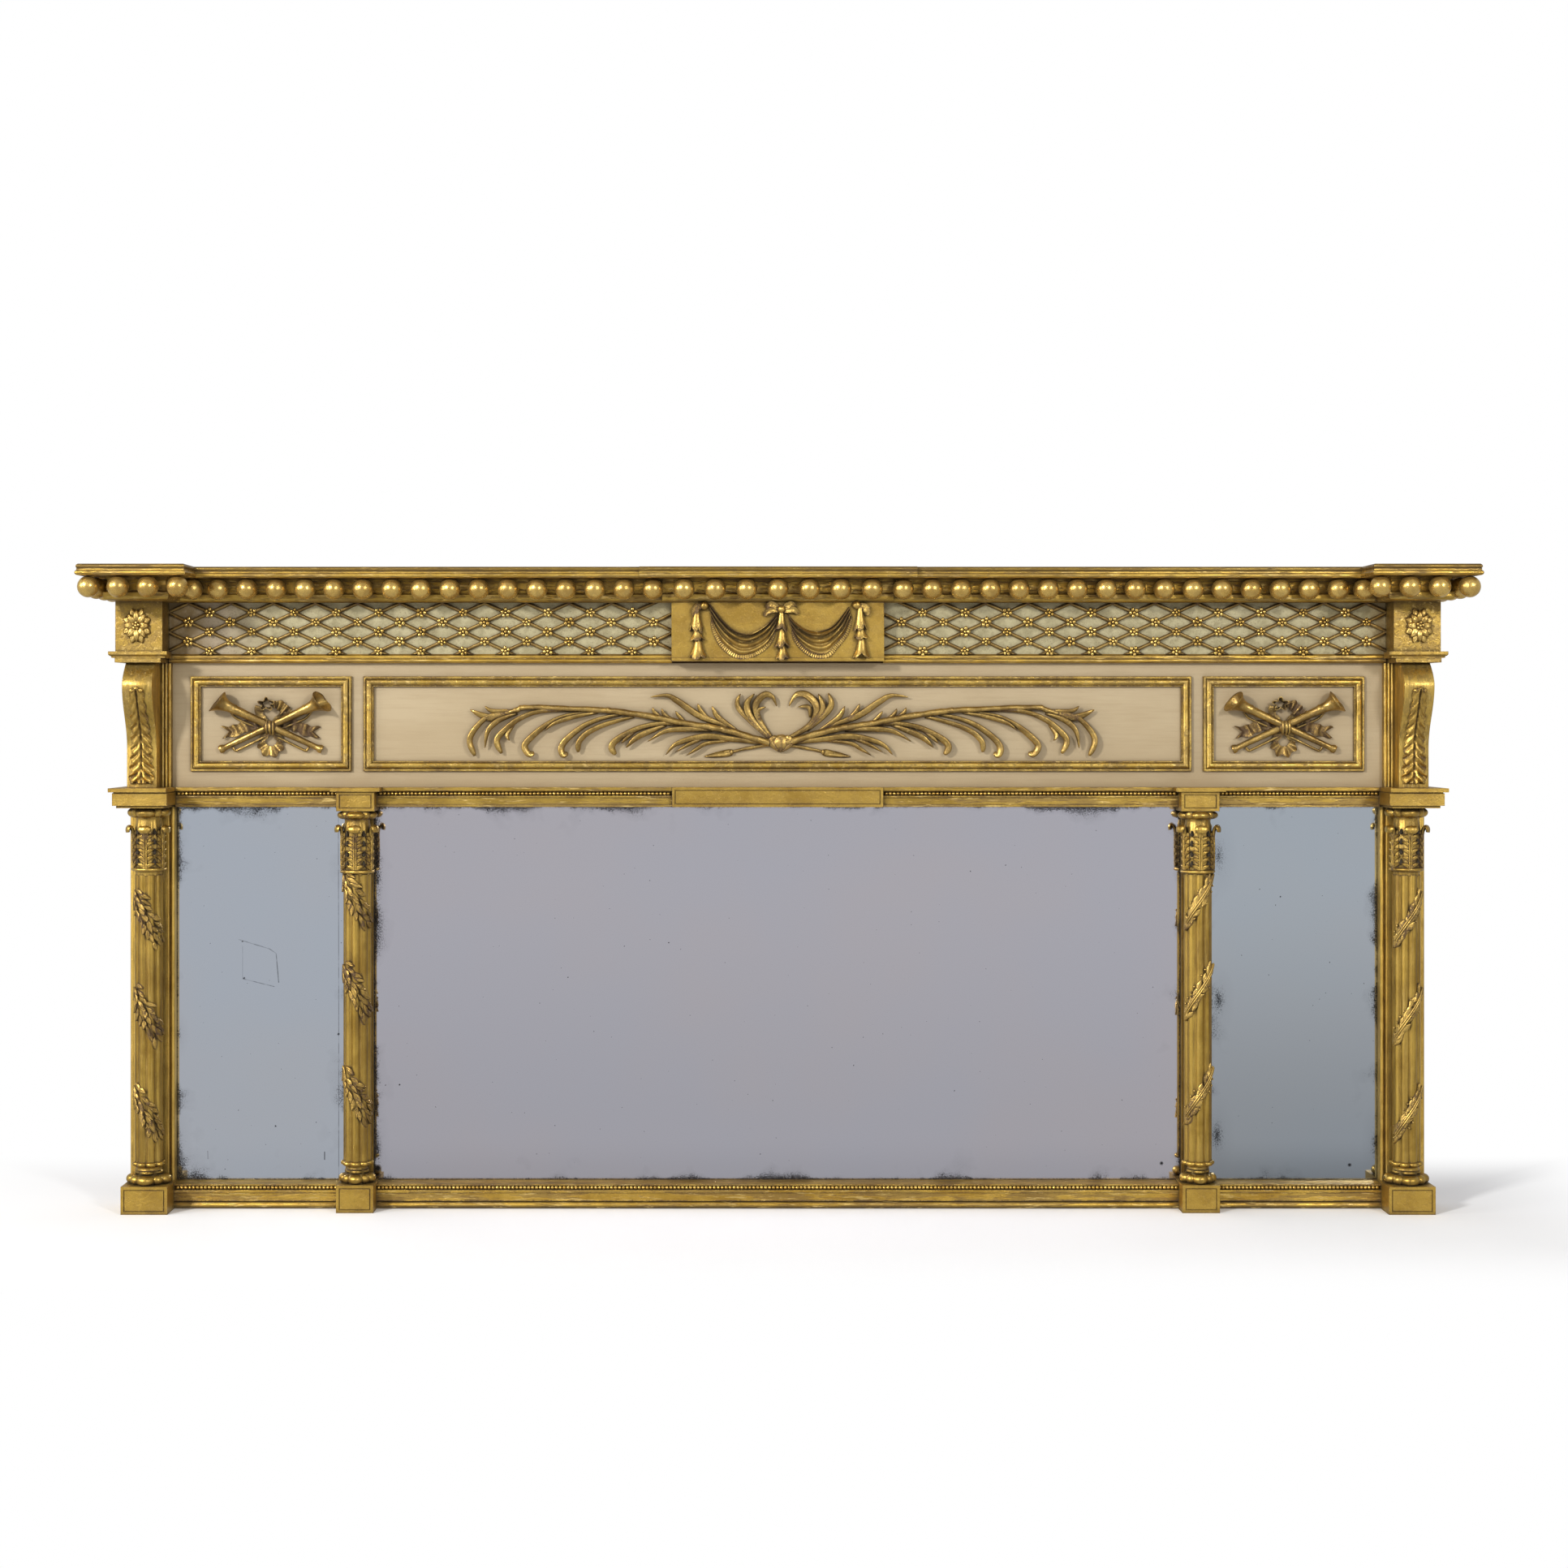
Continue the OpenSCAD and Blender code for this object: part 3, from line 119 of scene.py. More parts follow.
def axes(place):
    """The three coordinates of a place, each by itself."""
    return [Shade(socket) for socket in lay_node(place.tree, "SeparateXYZ", {0: place}).outputs]


def noise(place, scale, detail=3.0, rough=0.55):
    """Fractal noise from 0 to 1 over the place."""
    looks = {"Vector": place, "Scale": scale, "Detail": detail, "Roughness": rough}
    return Shade(lay_node(place.tree, "TexNoise", looks).outputs["Fac"])


def material(name):
    """An empty material with its node tree and its Principled shader."""
    made = bpy.data.materials.new(name)
    made.use_nodes = True
    return made, made.node_tree, made.node_tree.nodes["Principled BSDF"]


def coat(shader, values, height=None, relief=0.0, strength=1.0):
    """Feeds the shader, and works a height of 0 to 1 into the surface as relief in metres."""
    for label, value in values.items():
        feed(shader.inputs[label], value)
    if height:
        bump = lay_node(height.tree, "Bump", {"Height": height, "Distance": relief, "Strength": strength})
        feed(shader.inputs["Normal"], Shade(bump.outputs["Normal"]))


def finish_nodes(names, finish):
    """The CAD nodes take this material."""
    for name in names:
        node = nodes[name]
        if not node.material_slots:
            node.data.materials.append(finish)
        for slot in node.material_slots:
            slot.material = finish


def pine_material(name, stretch, tint):
    """Sawn pine: long grain bands and fine fibre along the board, with broad darker stains over them."""
    made, tree, shader = material(name)
    bands = noise(on_object(tree, stretch), 55.0, 5.0, 0.6)
    fibre = noise(on_object(tree, stretch), 420.0, 2.0, 0.6)
    pale, dark = (tuple(part * tint for part in wood) for wood in ((0.42, 0.26, 0.13), (0.20, 0.105, 0.045)))
    colour = layered(pale, (ramp(bands, 0.40, 0.62), dark),
                     (ramp(noise(on_object(tree), 6.0), 0.35, 0.75, 0.0, 0.55), (0.10, 0.065, 0.04)))
    coat(shader, {"Base Color": colour, "Roughness": ramp(fibre, 0.2, 0.8, 0.62, 0.86)},
         fibre + bands * 0.8, 0.0004)
    return made


finish_nodes(PINE_ACROSS, pine_material("pine_across", (0.06, 1.0, 1.0), 1.0))
finish_nodes(PINE_UPRIGHT, pine_material("pine_upright", (1.0, 1.0, 0.06), 0.92))

# Three mirror plates of old thin glass, tin and mercury behind, wedged into the rebates from behind.
# The silvering has gone grey, with black foxing that creeps in from the edges and a few scratches.
# Each plate: its left and right sight edge, its silver, how far the foxing creeps, how dull the foot is.
PLATES = {
    "left": (-0.734, -0.524, (0.70, 0.765, 0.855), 0.040, 0.06),
    "centre": (-0.4925, 0.4925, (0.725, 0.72, 0.79), 0.030, 0.11),
    "right": (0.524, 0.734, (0.64, 0.715, 0.79), 0.040, 0.32),
}
SIGHT_LOW, SIGHT_HIGH = 0.0323, 0.4885


def inside(value, low, high):
    """How far a coordinate lies inside low..high, in metres."""
    return (value - low).least(high - value)


def line_mask(x, z, start, end, half_width):
    """1 on the straight line from start to end in the plate's plane, fading to 0 over half_width."""
    run = np.subtract(end, start)
    length = float(np.hypot(*run))
    ux, uz = map(float, run / length)
    dx, dz = x - start[0], z - start[1]
    near = (1.0 - abs(dx * uz - dz * ux) / half_width).held()
    return near * inside(dx * ux + dz * uz, 0.0, length).above(0.0)


def mirror_material(name, x0, x1, silver, creep, dim, scratches, spots, blooms):
    """Old mirror: silver tone, foxing by distance from the sight edge against noise, scratches and specks.
    A speck is black where fine noise passes a level that falls as the power 1.8 of the closeness to the edge,
    or to the middle of an oval bloom. The silver dulls towards the foot by the share dim."""
    made, tree, shader = material(name)
    place = on_object(tree)
    x, _, z = axes(place)
    blotch = noise(place, 15.0, 3.0, 0.6)
    grain = noise(place, 900.0, 3.0, 0.75)
    edge = inside(x, x0, x1).least(inside(z, SIGHT_LOW, SIGHT_HIGH))
    closeness = (1.0 - edge / ramp(blotch, 0.45, 0.74, 0.004, creep * 1.4)).held()
    for cx, cz, rx, rz in blooms:
        away = (((x - cx) / rx) ** 2.0 + ((z - cz) / rz) ** 2.0).root()
        closeness = closeness.most((blotch * 0.4 + 0.75 - away).held())
    level = 0.74 - closeness ** 1.8 * 0.38
    foxing = ((noise(place, 1250.0, 3.0, 0.8) - level) * 14.0).held()
    mark = ramp(noise(place, 260.0, 1.0, 0.4), 0.772, 0.81, 0.0, 0.8)
    for start, end, width, strength in scratches:
        broken = ramp(noise(place, 90.0, 2.0), 0.34, 0.55, 0.35, 1.0)
        mark = mark.most(line_mask(x, z, start, end, width) * broken * strength)
    for cx, cz, radius in spots:
        away = ((x - cx) ** 2.0 + (z - cz) ** 2.0).root() + (grain - 0.5) * 0.004
        mark = mark.most(ramp(away, radius, radius * 0.3))
    warm = tuple(part * share for part, share in zip(silver, (1.04, 1.0, 0.965)))
    colour = layered(silver, (ramp(noise(place, 3.2), 0.3, 0.7), warm),
                     (ramp(grain, 0.52, 0.85, 0.0, 0.16), (0.20, 0.21, 0.22)),
                     (closeness * 0.12, (0.16, 0.16, 0.17)),
                     (ramp(z, 0.42, 0.04, 0.0, dim), (0.03, 0.035, 0.035)),
                     (ramp(z, 0.085, 0.025, 0.0, dim), (0.03, 0.03, 0.03)),
                     (foxing * 0.95, (0.012, 0.012, 0.014)), (mark, (0.035, 0.036, 0.04)))
    coat(shader, {"Base Color": colour, "Metallic": 1.0,
                  "Roughness": ramp(foxing.most(mark), 0.0, 1.0, 0.07, 0.30)},
         noise(place, 7.0, 1.0), 0.0006, 0.35)
    return made


# Scratches run from one point to another, with a half width and a strength; only the left plate has them.
SCRATCHES = {"left": [
    ((-0.6590, 0.3258), (-0.6209, 0.3142), 0.0008, 0.75), ((-0.6209, 0.3142), (-0.6129, 0.3086), 0.0008, 0.8),
    ((-0.6129, 0.3086), (-0.6097, 0.2729), 0.0009, 0.9), ((-0.6149, 0.2680), (-0.6539, 0.2777), 0.0008, 0.7),
    ((-0.6539, 0.2777), (-0.6539, 0.3183), 0.0006, 0.35), ((-0.6966, 0.0672), (-0.6962, 0.0570), 0.0010, 1.0),
    ((-0.5536, 0.0662), (-0.5536, 0.0562), 0.0010, 1.0), ((-0.5363, 0.0325), (-0.5363, 0.2560), 0.0006, 0.8),
    ((-0.5363, 0.2560), (-0.5368, 0.4880), 0.0006, 0.8)]}
# Specks have a middle and a radius, blooms a middle and two half widths.
SPECKS = {
    "left": [(-0.6137, 0.0975, 0.0014), (-0.6520, 0.2785, 0.0016), (-0.6540, 0.3235, 0.0014),
             (-0.5365, 0.2100, 0.0020)],
    "centre": [(-0.4885, 0.046, 0.006), (0.470, 0.052, 0.003), (-0.462, 0.148, 0.0015)],
    "right": [(0.700, 0.050, 0.003), (0.6155, 0.3780, 0.0014)],
}
BLOOMS = {
    "left": [(-0.734, 0.4460, 0.018, 0.060), (-0.734, 0.2100, 0.017, 0.036), (-0.734, 0.0740, 0.021, 0.066),
             (-0.700, 0.0320, 0.052, 0.017)],
    "centre": [(-0.489, 0.4000, 0.017, 0.100), (-0.489, 0.0700, 0.017, 0.070)],
    "right": [(0.540, 0.4284, 0.027, 0.060), (0.540, 0.2517, 0.022, 0.045), (0.538, 0.0859, 0.025, 0.058),
              (0.731, 0.2517, 0.013, 0.032), (0.732, 0.0740, 0.020, 0.064)],
}
for side, plate in PLATES.items():
    finish_nodes(["mirror_plate_" + side], mirror_material(
        f"mirror_plate_{side}_silvering", *plate, SCRATCHES.get(side, []), SPECKS[side], BLOOMS[side]))

# Iron keyhole plates let into the back of the upper rail, each held by two countersunk iron screws.
# Black iron with brown rust in patches, dull and slightly pitted.
black_iron, iron_tree, iron_shader = material("black_iron")
rust = ramp(noise(on_object(iron_tree), 120.0, 4.0, 0.65), 0.50, 0.66)
coat(iron_shader, {"Base Color": layered((0.055, 0.052, 0.05), (rust, (0.16, 0.062, 0.025))),
                   "Roughness": ramp(rust, 0.0, 1.0, 0.42, 0.85), "Metallic": ramp(rust, 0.0, 1.0, 0.9, 0.1)},
     noise(on_object(iron_tree), 900.0), 0.0002)
finish_nodes(["hanging_plates", "hanging_screws"], black_iron)

# Bottom rail and plinths: pine mouldings coated with gesso, red-brown bole and gold leaf, planted on the
# carcass. The leaf is rubbed through to the bole along the edges; dust and painted shade darken the hollows.


def openness(tree, reach, samples, inside_out=False):
    """1 in the open and 0 in a closed hollow of that reach; inside out it is 0 along thin convex edges."""
    found = lay_node(tree, "AmbientOcclusion", {"Distance": reach}, samples=samples, inside=inside_out)
    return Shade(found.outputs["AO"])


def gilding_group():
    """Worn gilding. Leaf tone from broad noise along the member and a cloud of its own; crisp patches where a
    later leaf is duller; dust and painted shade from how shut in a spot is; bole in specks, in chips and
    along convex edges; hair cracks where noise crosses its middle; bright flecks of newer leaf."""
    tree = bpy.data.node_groups.new("worn_gilding", "ShaderNodeTree")
    for label, kind, value in (
            ("Leaf", "Color", (0.60, 0.42, 0.12, 1)), ("Deep leaf", "Color", (0.42, 0.25, 0.05, 1)),
            ("Shade and dust tone", "Color", (0.075, 0.050, 0.018, 1)), ("Bole", "Color", (0.070, 0.036, 0.018, 1)),
            ("Lay", "Vector", (1, 1, 1)), ("Wear", "Float", 0.5), ("Patches", "Float", 0.3),
            ("Streaks", "Float", 0.4), ("Shade and dust share", "Float", 0.7), ("Gloss", "Float", 0.34)):
        socket = tree.interface.new_socket(label, in_out="INPUT", socket_type="NodeSocket" + kind)
        socket.default_value = value
    for label, kind in (("Colour", "Color"), ("Roughness", "Float"), ("Metal", "Float"), ("Height", "Float")):
        tree.interface.new_socket(label, in_out="OUTPUT", socket_type="NodeSocket" + kind)
    entry = tree.nodes.new("NodeGroupInput")
    leaf, deep, dust_and_shade_tone, red, lay, wear, patches, streaks, dust_and_shade_share, gloss = map(Shade, entry.outputs[:10])
    place = on_object(tree)
    along = Shade(lay_node(tree, "VectorMath", {0: place, 1: lay}, operation="MULTIPLY").outputs[0])
    streak, broad = noise(along, 300.0, 4.0, 0.65), noise(along, 40.0, 3.0, 0.6)
    cloud, grain = noise(place, 30.0, 3.0, 0.6), noise(place, 620.0, 3.0, 0.7)
    patch = ramp(noise(along, 105.0, 4.0, 0.62), 0.50, 0.535)
    speck = ramp(noise(place, 900.0, 2.0, 0.6), 0.635, 0.70)
    recess = ramp(openness(tree, 0.011, 6), 0.95, 0.40).most(ramp(openness(tree, 0.0032, 6), 0.92, 0.50))
    edge = ramp(openness(tree, 0.0016, 5, True), 0.93, 0.45)
    crack = ramp(abs(noise(along, 150.0, 3.0, 0.5) - 0.5), 0.006, 0.002) * ramp(broad, 0.50, 0.58)
    chip = ramp(noise(along, 430.0, 5.0, 0.72), 0.56, 0.60)
    fleck = ramp(noise(along, 340.0, 4.0, 0.7), 0.58, 0.64)
    dull = patch * patches
    # Dust in the hollows and painted shade: the colour darkens where the surface is shut in.
    dust_and_shade = dust_and_shade_share * (recess + (grain - 0.5) * 0.5).held()
    rubbed = edge * 0.50 + (grain - 0.5) * 0.9 + (cloud - 0.5) * 0.9
    bole = ((rubbed - (0.66 - wear * 0.55)) * 7.0).held()
    bole = bole.most(speck * wear).most(crack * streaks).most(chip * patches)
    out = tree.nodes.new("NodeGroupOutput")
    feed(out.inputs["Colour"], layered(
        leaf, (ramp((broad + cloud) * 0.5, 0.40, 0.62), deep), (dull * 0.9, (0.25, 0.170, 0.075)),
        (ramp(streak, 0.50, 0.70) * streaks, (0.20, 0.125, 0.045)),
        (ramp(grain, 0.56, 0.80, 0.0, 0.35), (0.24, 0.155, 0.055)),
        (dust_and_shade, dust_and_shade_tone), (fleck * patches, (0.90, 0.66, 0.24)), (bole * 0.85, red)))
    feed(out.inputs["Roughness"], (gloss + (grain * 0.16 + dust_and_shade * 0.28) + dull * 0.12 + bole * 0.2).held())
    feed(out.inputs["Metal"], (1.0 - dust_and_shade * 0.35 - bole * 0.55).held())
    feed(out.inputs["Height"], streak * 0.35 + grain * 0.35 + patch * -0.2 - bole * 0.5)
    return tree


WORN_GILDING = gilding_group()


def gilding(name, leaf, deep, lay, wear, dust_and_shade, gloss, relief=0.00035, patches=0.2, streaks=0.3):
    """The material of a gilded finish, made from the worn gilding group."""
    made, tree, shader = material(name)
    worn = lay_node(tree, "Group", {
        "Leaf": leaf, "Deep leaf": deep, "Lay": lay, "Wear": wear, "Patches": patches, "Streaks": streaks,
        "Shade and dust share": dust_and_shade, "Gloss": gloss}, node_tree=WORN_GILDING)
    colour, rough, metal, height = map(Shade, worn.outputs)
    coat(shader, {"Base Color": colour, "Roughness": rough, "Metallic": metal}, height, relief, 0.8)
    return made


finish_nodes(["bottom_rail", "frieze_moulding"], gilding(
    "rail_gilding", (0.740, 0.472, 0.092), (0.500, 0.293, 0.048), (0.10, 1.0, 1.0), 0.53, 0.85, 0.28,
    patches=0.55, streaks=0.38, relief=0.0006))
COLUMNS = [f"{row}_{hand}" for row in ("outer", "inner") for hand in ("left", "right")]
finish_nodes(["plinth_" + column for column in COLUMNS], gilding(
    "block_gilding", (0.580, 0.370, 0.074), (0.460, 0.282, 0.053), (0.8, 1.0, 1.0), 0.46, 0.8, 0.34,
    patches=0.12, streaks=0.14))

# Architrave: the moulded rail over the plates, four blocks over the columns and two plain tablets in the
# middle, one here and one in the latticed band. More worn than the bottom rail, and darker: painted shade.
finish_nodes(["architrave_rail"], gilding(
    "shaded_upper_rail_gilding", (0.540, 0.355, 0.075), (0.380, 0.240, 0.047), (0.10, 1.0, 1.0), 0.60, 0.9, 0.28,
    patches=0.6, streaks=0.55))
# The blocks and tablets take a darker copy of the plinths' gilding: painted shade.
BLOCKS = ["architrave_tablet", "centre_tablet"] + ["architrave_block_" + column for column in COLUMNS]
finish_nodes(BLOCKS, gilding(
    "shaded_upper_block_gilding", (0.480, 0.312, 0.068), (0.380, 0.236, 0.048), (0.8, 1.0, 1.0), 0.46, 0.8, 0.34,
    patches=0.12, streaks=0.14))

# Pearl beading: strings of small turned pearls glued into the hollows of the rail and the architrave,
# burnished on top, and dark between with dust and painted shade.
finish_nodes(["pearl_beading"], gilding(
    "pearl_gilding", (0.900, 0.586, 0.144), (0.660, 0.387, 0.072), (1, 1, 1), 0.25, 0.50, 0.20))

# Columns and stile mouldings: turned and carved lobed bases, clustered reeds and leaved capitals, glued
# flat against the stiles and the bars. The gold lies in long upright streaks.
UPRIGHT_LAY = (1.0, 1.0, 0.07)
COLUMN_LEAF, COLUMN_DEEP = (0.560, 0.364, 0.076), (0.360, 0.217, 0.040)
PARTS = [f"{part}_{column}" for part in ("column_base", "column_shaft", "capital") for column in COLUMNS]
finish_nodes(PARTS, gilding(
    "column_gilding", COLUMN_LEAF, COLUMN_DEEP, UPRIGHT_LAY, 0.45, 1.0, 0.27, patches=0.15, streaks=0.5))
finish_nodes(["stile_moulding_left", "stile_moulding_right"], gilding(
    "stile_gilding", (0.86, 0.570, 0.125), (0.60, 0.370, 0.072), UPRIGHT_LAY, 0.42, 0.7, 0.27,
    patches=0.2, streaks=0.5))


def fed_by(finish, label):
    """A gilded finish's shader, and the shade that feeds that input of it now."""
    shader = finish.node_tree.nodes["Principled BSDF"]
    return shader, Shade(shader.inputs[label].links[0].from_socket)


# The bars between the plates are gilt, but for their hindmost 10 mm, which are bare pine.
BAR_GILT_BACK = 0.0600
bar_gilding = gilding("bar_gilding", COLUMN_LEAF, COLUMN_DEEP, UPRIGHT_LAY, 0.45, 1.0, 0.27, streaks=0.5)
bar_shader, bar_leaf = fed_by(bar_gilding, "Base Color")
_, bar_metal = fed_by(bar_gilding, "Metallic")
bar_back = ramp(axes(on_object(bar_gilding.node_tree))[1], BAR_GILT_BACK, BAR_GILT_BACK + 0.0005)
coat(bar_shader, {"Base Color": layered(bar_leaf, (bar_back, (0.17, 0.098, 0.050))),
                  "Metallic": bar_metal * (1.0 - bar_back)})
finish_nodes(["muntin_left", "muntin_right"], bar_gilding)

# Laurel garlands: three on each shaft, carved in the round of the reeds. They fall to the right on the left
# pair and to the left on the right pair. Pointed leaves lap along a band with berries. Sizes from here on are
# in millimetres, and depths are distances in front of the wall.
WALL_Y = 0.070
MM = 0.001
COLUMN_PLACES = {"outer_left": (-761.5, 48.0), "inner_left": (-510.0, 43.0),
                 "inner_right": (510.0, 43.0), "outer_right": (761.5, 48.0)}
SHAFT_R = 16.8
GARLAND_MIDDLES = {"outer": (355.5, 239.0, 120.5), "inner": (376.5, 268.0, 142.5)}
GARLAND_SWEEP, GARLAND_DROP = 16.5, 28.0
LEAF_LENGTHS = {1: (11.0, 17.0), -1: (13.0, 18.0)}
LEAF_WIDTHS = {1: (4.0, 6.6), -1: (5.0, 7.8)}
garland_gilding = {
    "left": gilding("dusty_garland_gilding", (0.500, 0.322, 0.082), (0.270, 0.165, 0.043), (1, 1, 1),
                    0.55, 0.95, 0.30),
    "right": gilding("garland_gilding", (0.640, 0.422, 0.110), (0.370, 0.232, 0.058), (1, 1, 1),
                     0.42, 0.75, 0.28)}


def grid_faces(rows, columns, wrap):
    """Quads of a grid of rows by columns; with wrap the last column joins the first."""
    i, j = np.meshgrid(np.arange(rows - 1), np.arange(columns if wrap else columns - 1), indexing="ij")
    k = (j + 1) % columns
    corners = [i * columns + j, i * columns + k, (i + 1) * columns + k, (i + 1) * columns + j]
    return np.stack(corners, -1).reshape(-1, 4)


def tube(rings):
    """A closed body from rings of points: neighbours are joined, and each end closes on its ring's middle."""
    n, m = rings.shape[:2]
    points = np.vstack([rings.reshape(-1, 3), rings[0].mean(0), rings[-1].mean(0)])
    a = np.arange(m)
    b = (a + 1) % m
    first = np.stack([np.full(m, n * m), b, a], -1)
    last = np.stack([np.full(m, n * m + 1), (n - 1) * m + a, (n - 1) * m + b], -1)
    return points, [grid_faces(n, m, True), first, last]


def leaf_body(front, back):
    """A closed body between two grids of one size: the front, the back turned over, and the rim between."""
    n, m = front.shape[:2]
    index = np.arange(n * m).reshape(n, m)
    rim = np.concatenate([index[0, :-1], index[:-1, -1], index[-1, :0:-1], index[:0:-1, 0]])
    after = np.roll(rim, -1)
    faces = grid_faces(n, m, False)
    return (np.vstack([front.reshape(-1, 3), back.reshape(-1, 3)]),
            [faces, faces[:, ::-1] + n * m, np.stack([after, rim, rim + n * m, after + n * m], -1)])


def round_angles(count):
    """Angles once round in count equal steps, as a row."""
    return np.linspace(0, 2 * math.pi, count, endpoint=False)[None, :]


def face_grid(rows, columns, low=-1):
    """The two parameters of a surface: 0 to 1 along it, and low to 1 across it."""
    return np.meshgrid(np.linspace(0, 1, rows), np.linspace(low, 1, columns), indexing="ij")


def in_front(points):
    """Millimetres across, up and out from the wall, turned into the frame's metres."""
    p = np.asarray(points, float)
    return np.stack([p[..., 0] * MM, WALL_Y - p[..., 2] * MM, p[..., 1] * MM], -1)


def bead(centre, radii, across=10, along=6):
    """An ellipsoid at a centre in metres, its radii in millimetres: rings of radius sin(a) at height cos(a),
    a from pole to pole."""
    a, b = np.linspace(0.12, math.pi - 0.12, along)[:, None], round_angles(across)
    unit = np.stack([np.sin(a) * np.cos(b), np.sin(a) * np.sin(b), np.cos(a) + 0 * b], -1)
    return tube(np.asarray(centre) + unit * (np.asarray(radii) * MM))


def knob(x, up, out, radii, across=10, along=6):
    """A bead at a place in millimetres."""
    return bead(in_front([x, up, out]), radii, across, along)


def placed(name, data):
    """A new object in the scene."""
    made = bpy.data.objects.new(name, data)
    bpy.context.scene.collection.objects.link(made)
    return made


def carve(name, bodies, finish, stands_for=(), sharp=50.0):
    """One piece from closed bodies: faces turned outwards, smooth but for edges sharper than the angle."""
    points, faces, base = [], [], 0
    for body_points, body_faces in bodies:
        points.append(body_points)
        faces += [quads + base for quads in body_faces]
        base += len(body_points)
    mesh = bpy.data.meshes.new(name)
    mesh.from_pydata(np.vstack(points).tolist(), [], [corner for quads in faces for corner in quads.tolist()])
    shell = bmesh.new()
    shell.from_mesh(mesh)
    bmesh.ops.recalc_face_normals(shell, faces=shell.faces)
    shell.to_mesh(mesh)
    shell.free()
    mesh.polygons.foreach_set("use_smooth", np.ones(len(mesh.polygons), bool))
    mesh.set_sharp_from_angle(angle=math.radians(sharp))
    mesh.materials.append(finish)
    piece = placed(name, mesh)
    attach(piece, "root")
    if stands_for:
        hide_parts(*stands_for)


def round_shaft(around, up, out, place):
    """Points on a column: around is the arc from its front in mm, out the radius, up the height."""
    x, d = place
    angle = around / SHAFT_R
    return in_front(np.stack([x + out * np.sin(angle), up, d + out * np.cos(angle)], -1))


def laurel_leaf(start, heading, length, width, out, place):
    """A leaf on the shaft: its half width is width times sin of its length to the 0.8, its middle is raised
    as a cosine across, with a vein sunk along it, and the tip lifts."""
    t, b = face_grid(8, 7)
    half = width / 2 * np.sin(math.pi * np.clip(t * 0.97 + 0.02, 0, 1)) ** 0.8
    along, across = t * length, b * half
    around = start[0] + along * math.cos(heading) - across * math.sin(heading)
    up = start[1] + along * math.sin(heading) + across * math.cos(heading)
    vein = 0.7 * np.exp(-(b / 0.22) ** 2) * np.sin(math.pi * t)
    rise = out + 1.1 * np.cos(b * math.pi / 2) + 0.7 * t - vein
    return leaf_body(round_shaft(around, up, SHAFT_R + rise, place),
                     round_shaft(around, up, np.full_like(rise, SHAFT_R - 3.0), place))


def garland(middle, fall, place, seed):
    """Leaves along a slanting band, three abreast, splayed and ragged, with a few berries between. Fall is 1
    on the left pair and -1 on the right pair, where a twin stalk runs over the larger leaves."""
    pick = np.random.default_rng(seed)
    bodies = []
    t, a = np.linspace(-1.12, 0.98, 40)[:, None], round_angles(8)
    across = np.array([GARLAND_DROP, GARLAND_SWEEP * fall]) / math.hypot(GARLAND_DROP, GARLAND_SWEEP)
    for shift in (-1.0, 1.0) if fall < 0 else ():
        aside = shift + np.cos(a)
        bodies.append(tube(round_shaft(fall * t * GARLAND_SWEEP + across[0] * aside,
                                       middle - t * GARLAND_DROP + across[1] * aside,
                                       SHAFT_R + 2.7 + np.sin(a) + 0 * t, place)))
    heading = math.atan2(-GARLAND_DROP, GARLAND_SWEEP * fall)
    for step in np.linspace(-1, 1, 9):
        around, up = fall * step * GARLAND_SWEEP, middle - step * GARLAND_DROP
        for side in (-1, 0, 1):
            swing = heading + side * 0.42 * fall + pick.uniform(-0.30, 0.30)
            away = side * 5.6 + pick.uniform(-1.2, 1.2)
            back = pick.uniform(3.0, 7.5)
            start = (around - away * math.sin(heading) - back * math.cos(heading),
                     up + away * math.cos(heading) - back * math.sin(heading))
            bodies.append(laurel_leaf(start, swing, pick.uniform(*LEAF_LENGTHS[fall]),
                                      pick.uniform(*LEAF_WIDTHS[fall]),
                                      0.2 + 0.2 * (side == 0) + pick.uniform(0, 0.8), place))
        if abs(step) < 0.9:
            side = pick.choice((-1, 1))
            berry = (around + side * 7.2 * fall, up + side * 4.0, SHAFT_R + 1.0)
            bodies.append(bead(round_shaft(*map(np.array, berry), place), (1.4, 1.4, 1.4), 8, 5))
    return bodies


for column, place in COLUMN_PLACES.items():
    row, hand_name = column.split("_")
    bodies = []
    for number, middle in enumerate(GARLAND_MIDDLES[row]):
        seed = 31 * number + int(abs(place[0]))
        bodies += garland(middle, 1 if hand_name == "left" else -1, place, seed)
    carve("garland_" + column, bodies, garland_gilding[hand_name])

# Capitals: a bell with a thin neck ring, three tall leaves that show, each a twin rib with five pairs of
# slanting lobes and a tip that curls over, and an echinus of big lobes with small ones between, all carved in
# pine and gilt. The eyes between the leaves are painted shade. The back is sawn flat where it is planted.
CAPITAL_FOOT = 412.0
BELL_R = 17.6
# The neck ring's height, the top, the height of the echinus and how far out its lobes sit.
CAPITALS = {"outer": (413.6, 488.5, 12.6, 15.2), "inner": (410.6, 484.0, 10.4, 13.6)}
LEAF_STEP = 8.8
carved_gilding = gilding("carved_gilding", (0.680, 0.442, 0.100), (0.420, 0.255, 0.050), (1, 1, 1),
                         0.42, 1.0, 0.25)
# A near-black material for the eyes between the leaves: painted shade for the hollows there.
painted_shade_hollow, shade_hollow_tree, shade_hollow_shader = material("painted_shade_hollow")
coat(shade_hollow_shader, {"Roughness": 0.9, "Base Color": layered(
    (0.012, 0.008, 0.004), (noise(on_object(shade_hollow_tree), 600.0), (0.045, 0.03, 0.012)))})


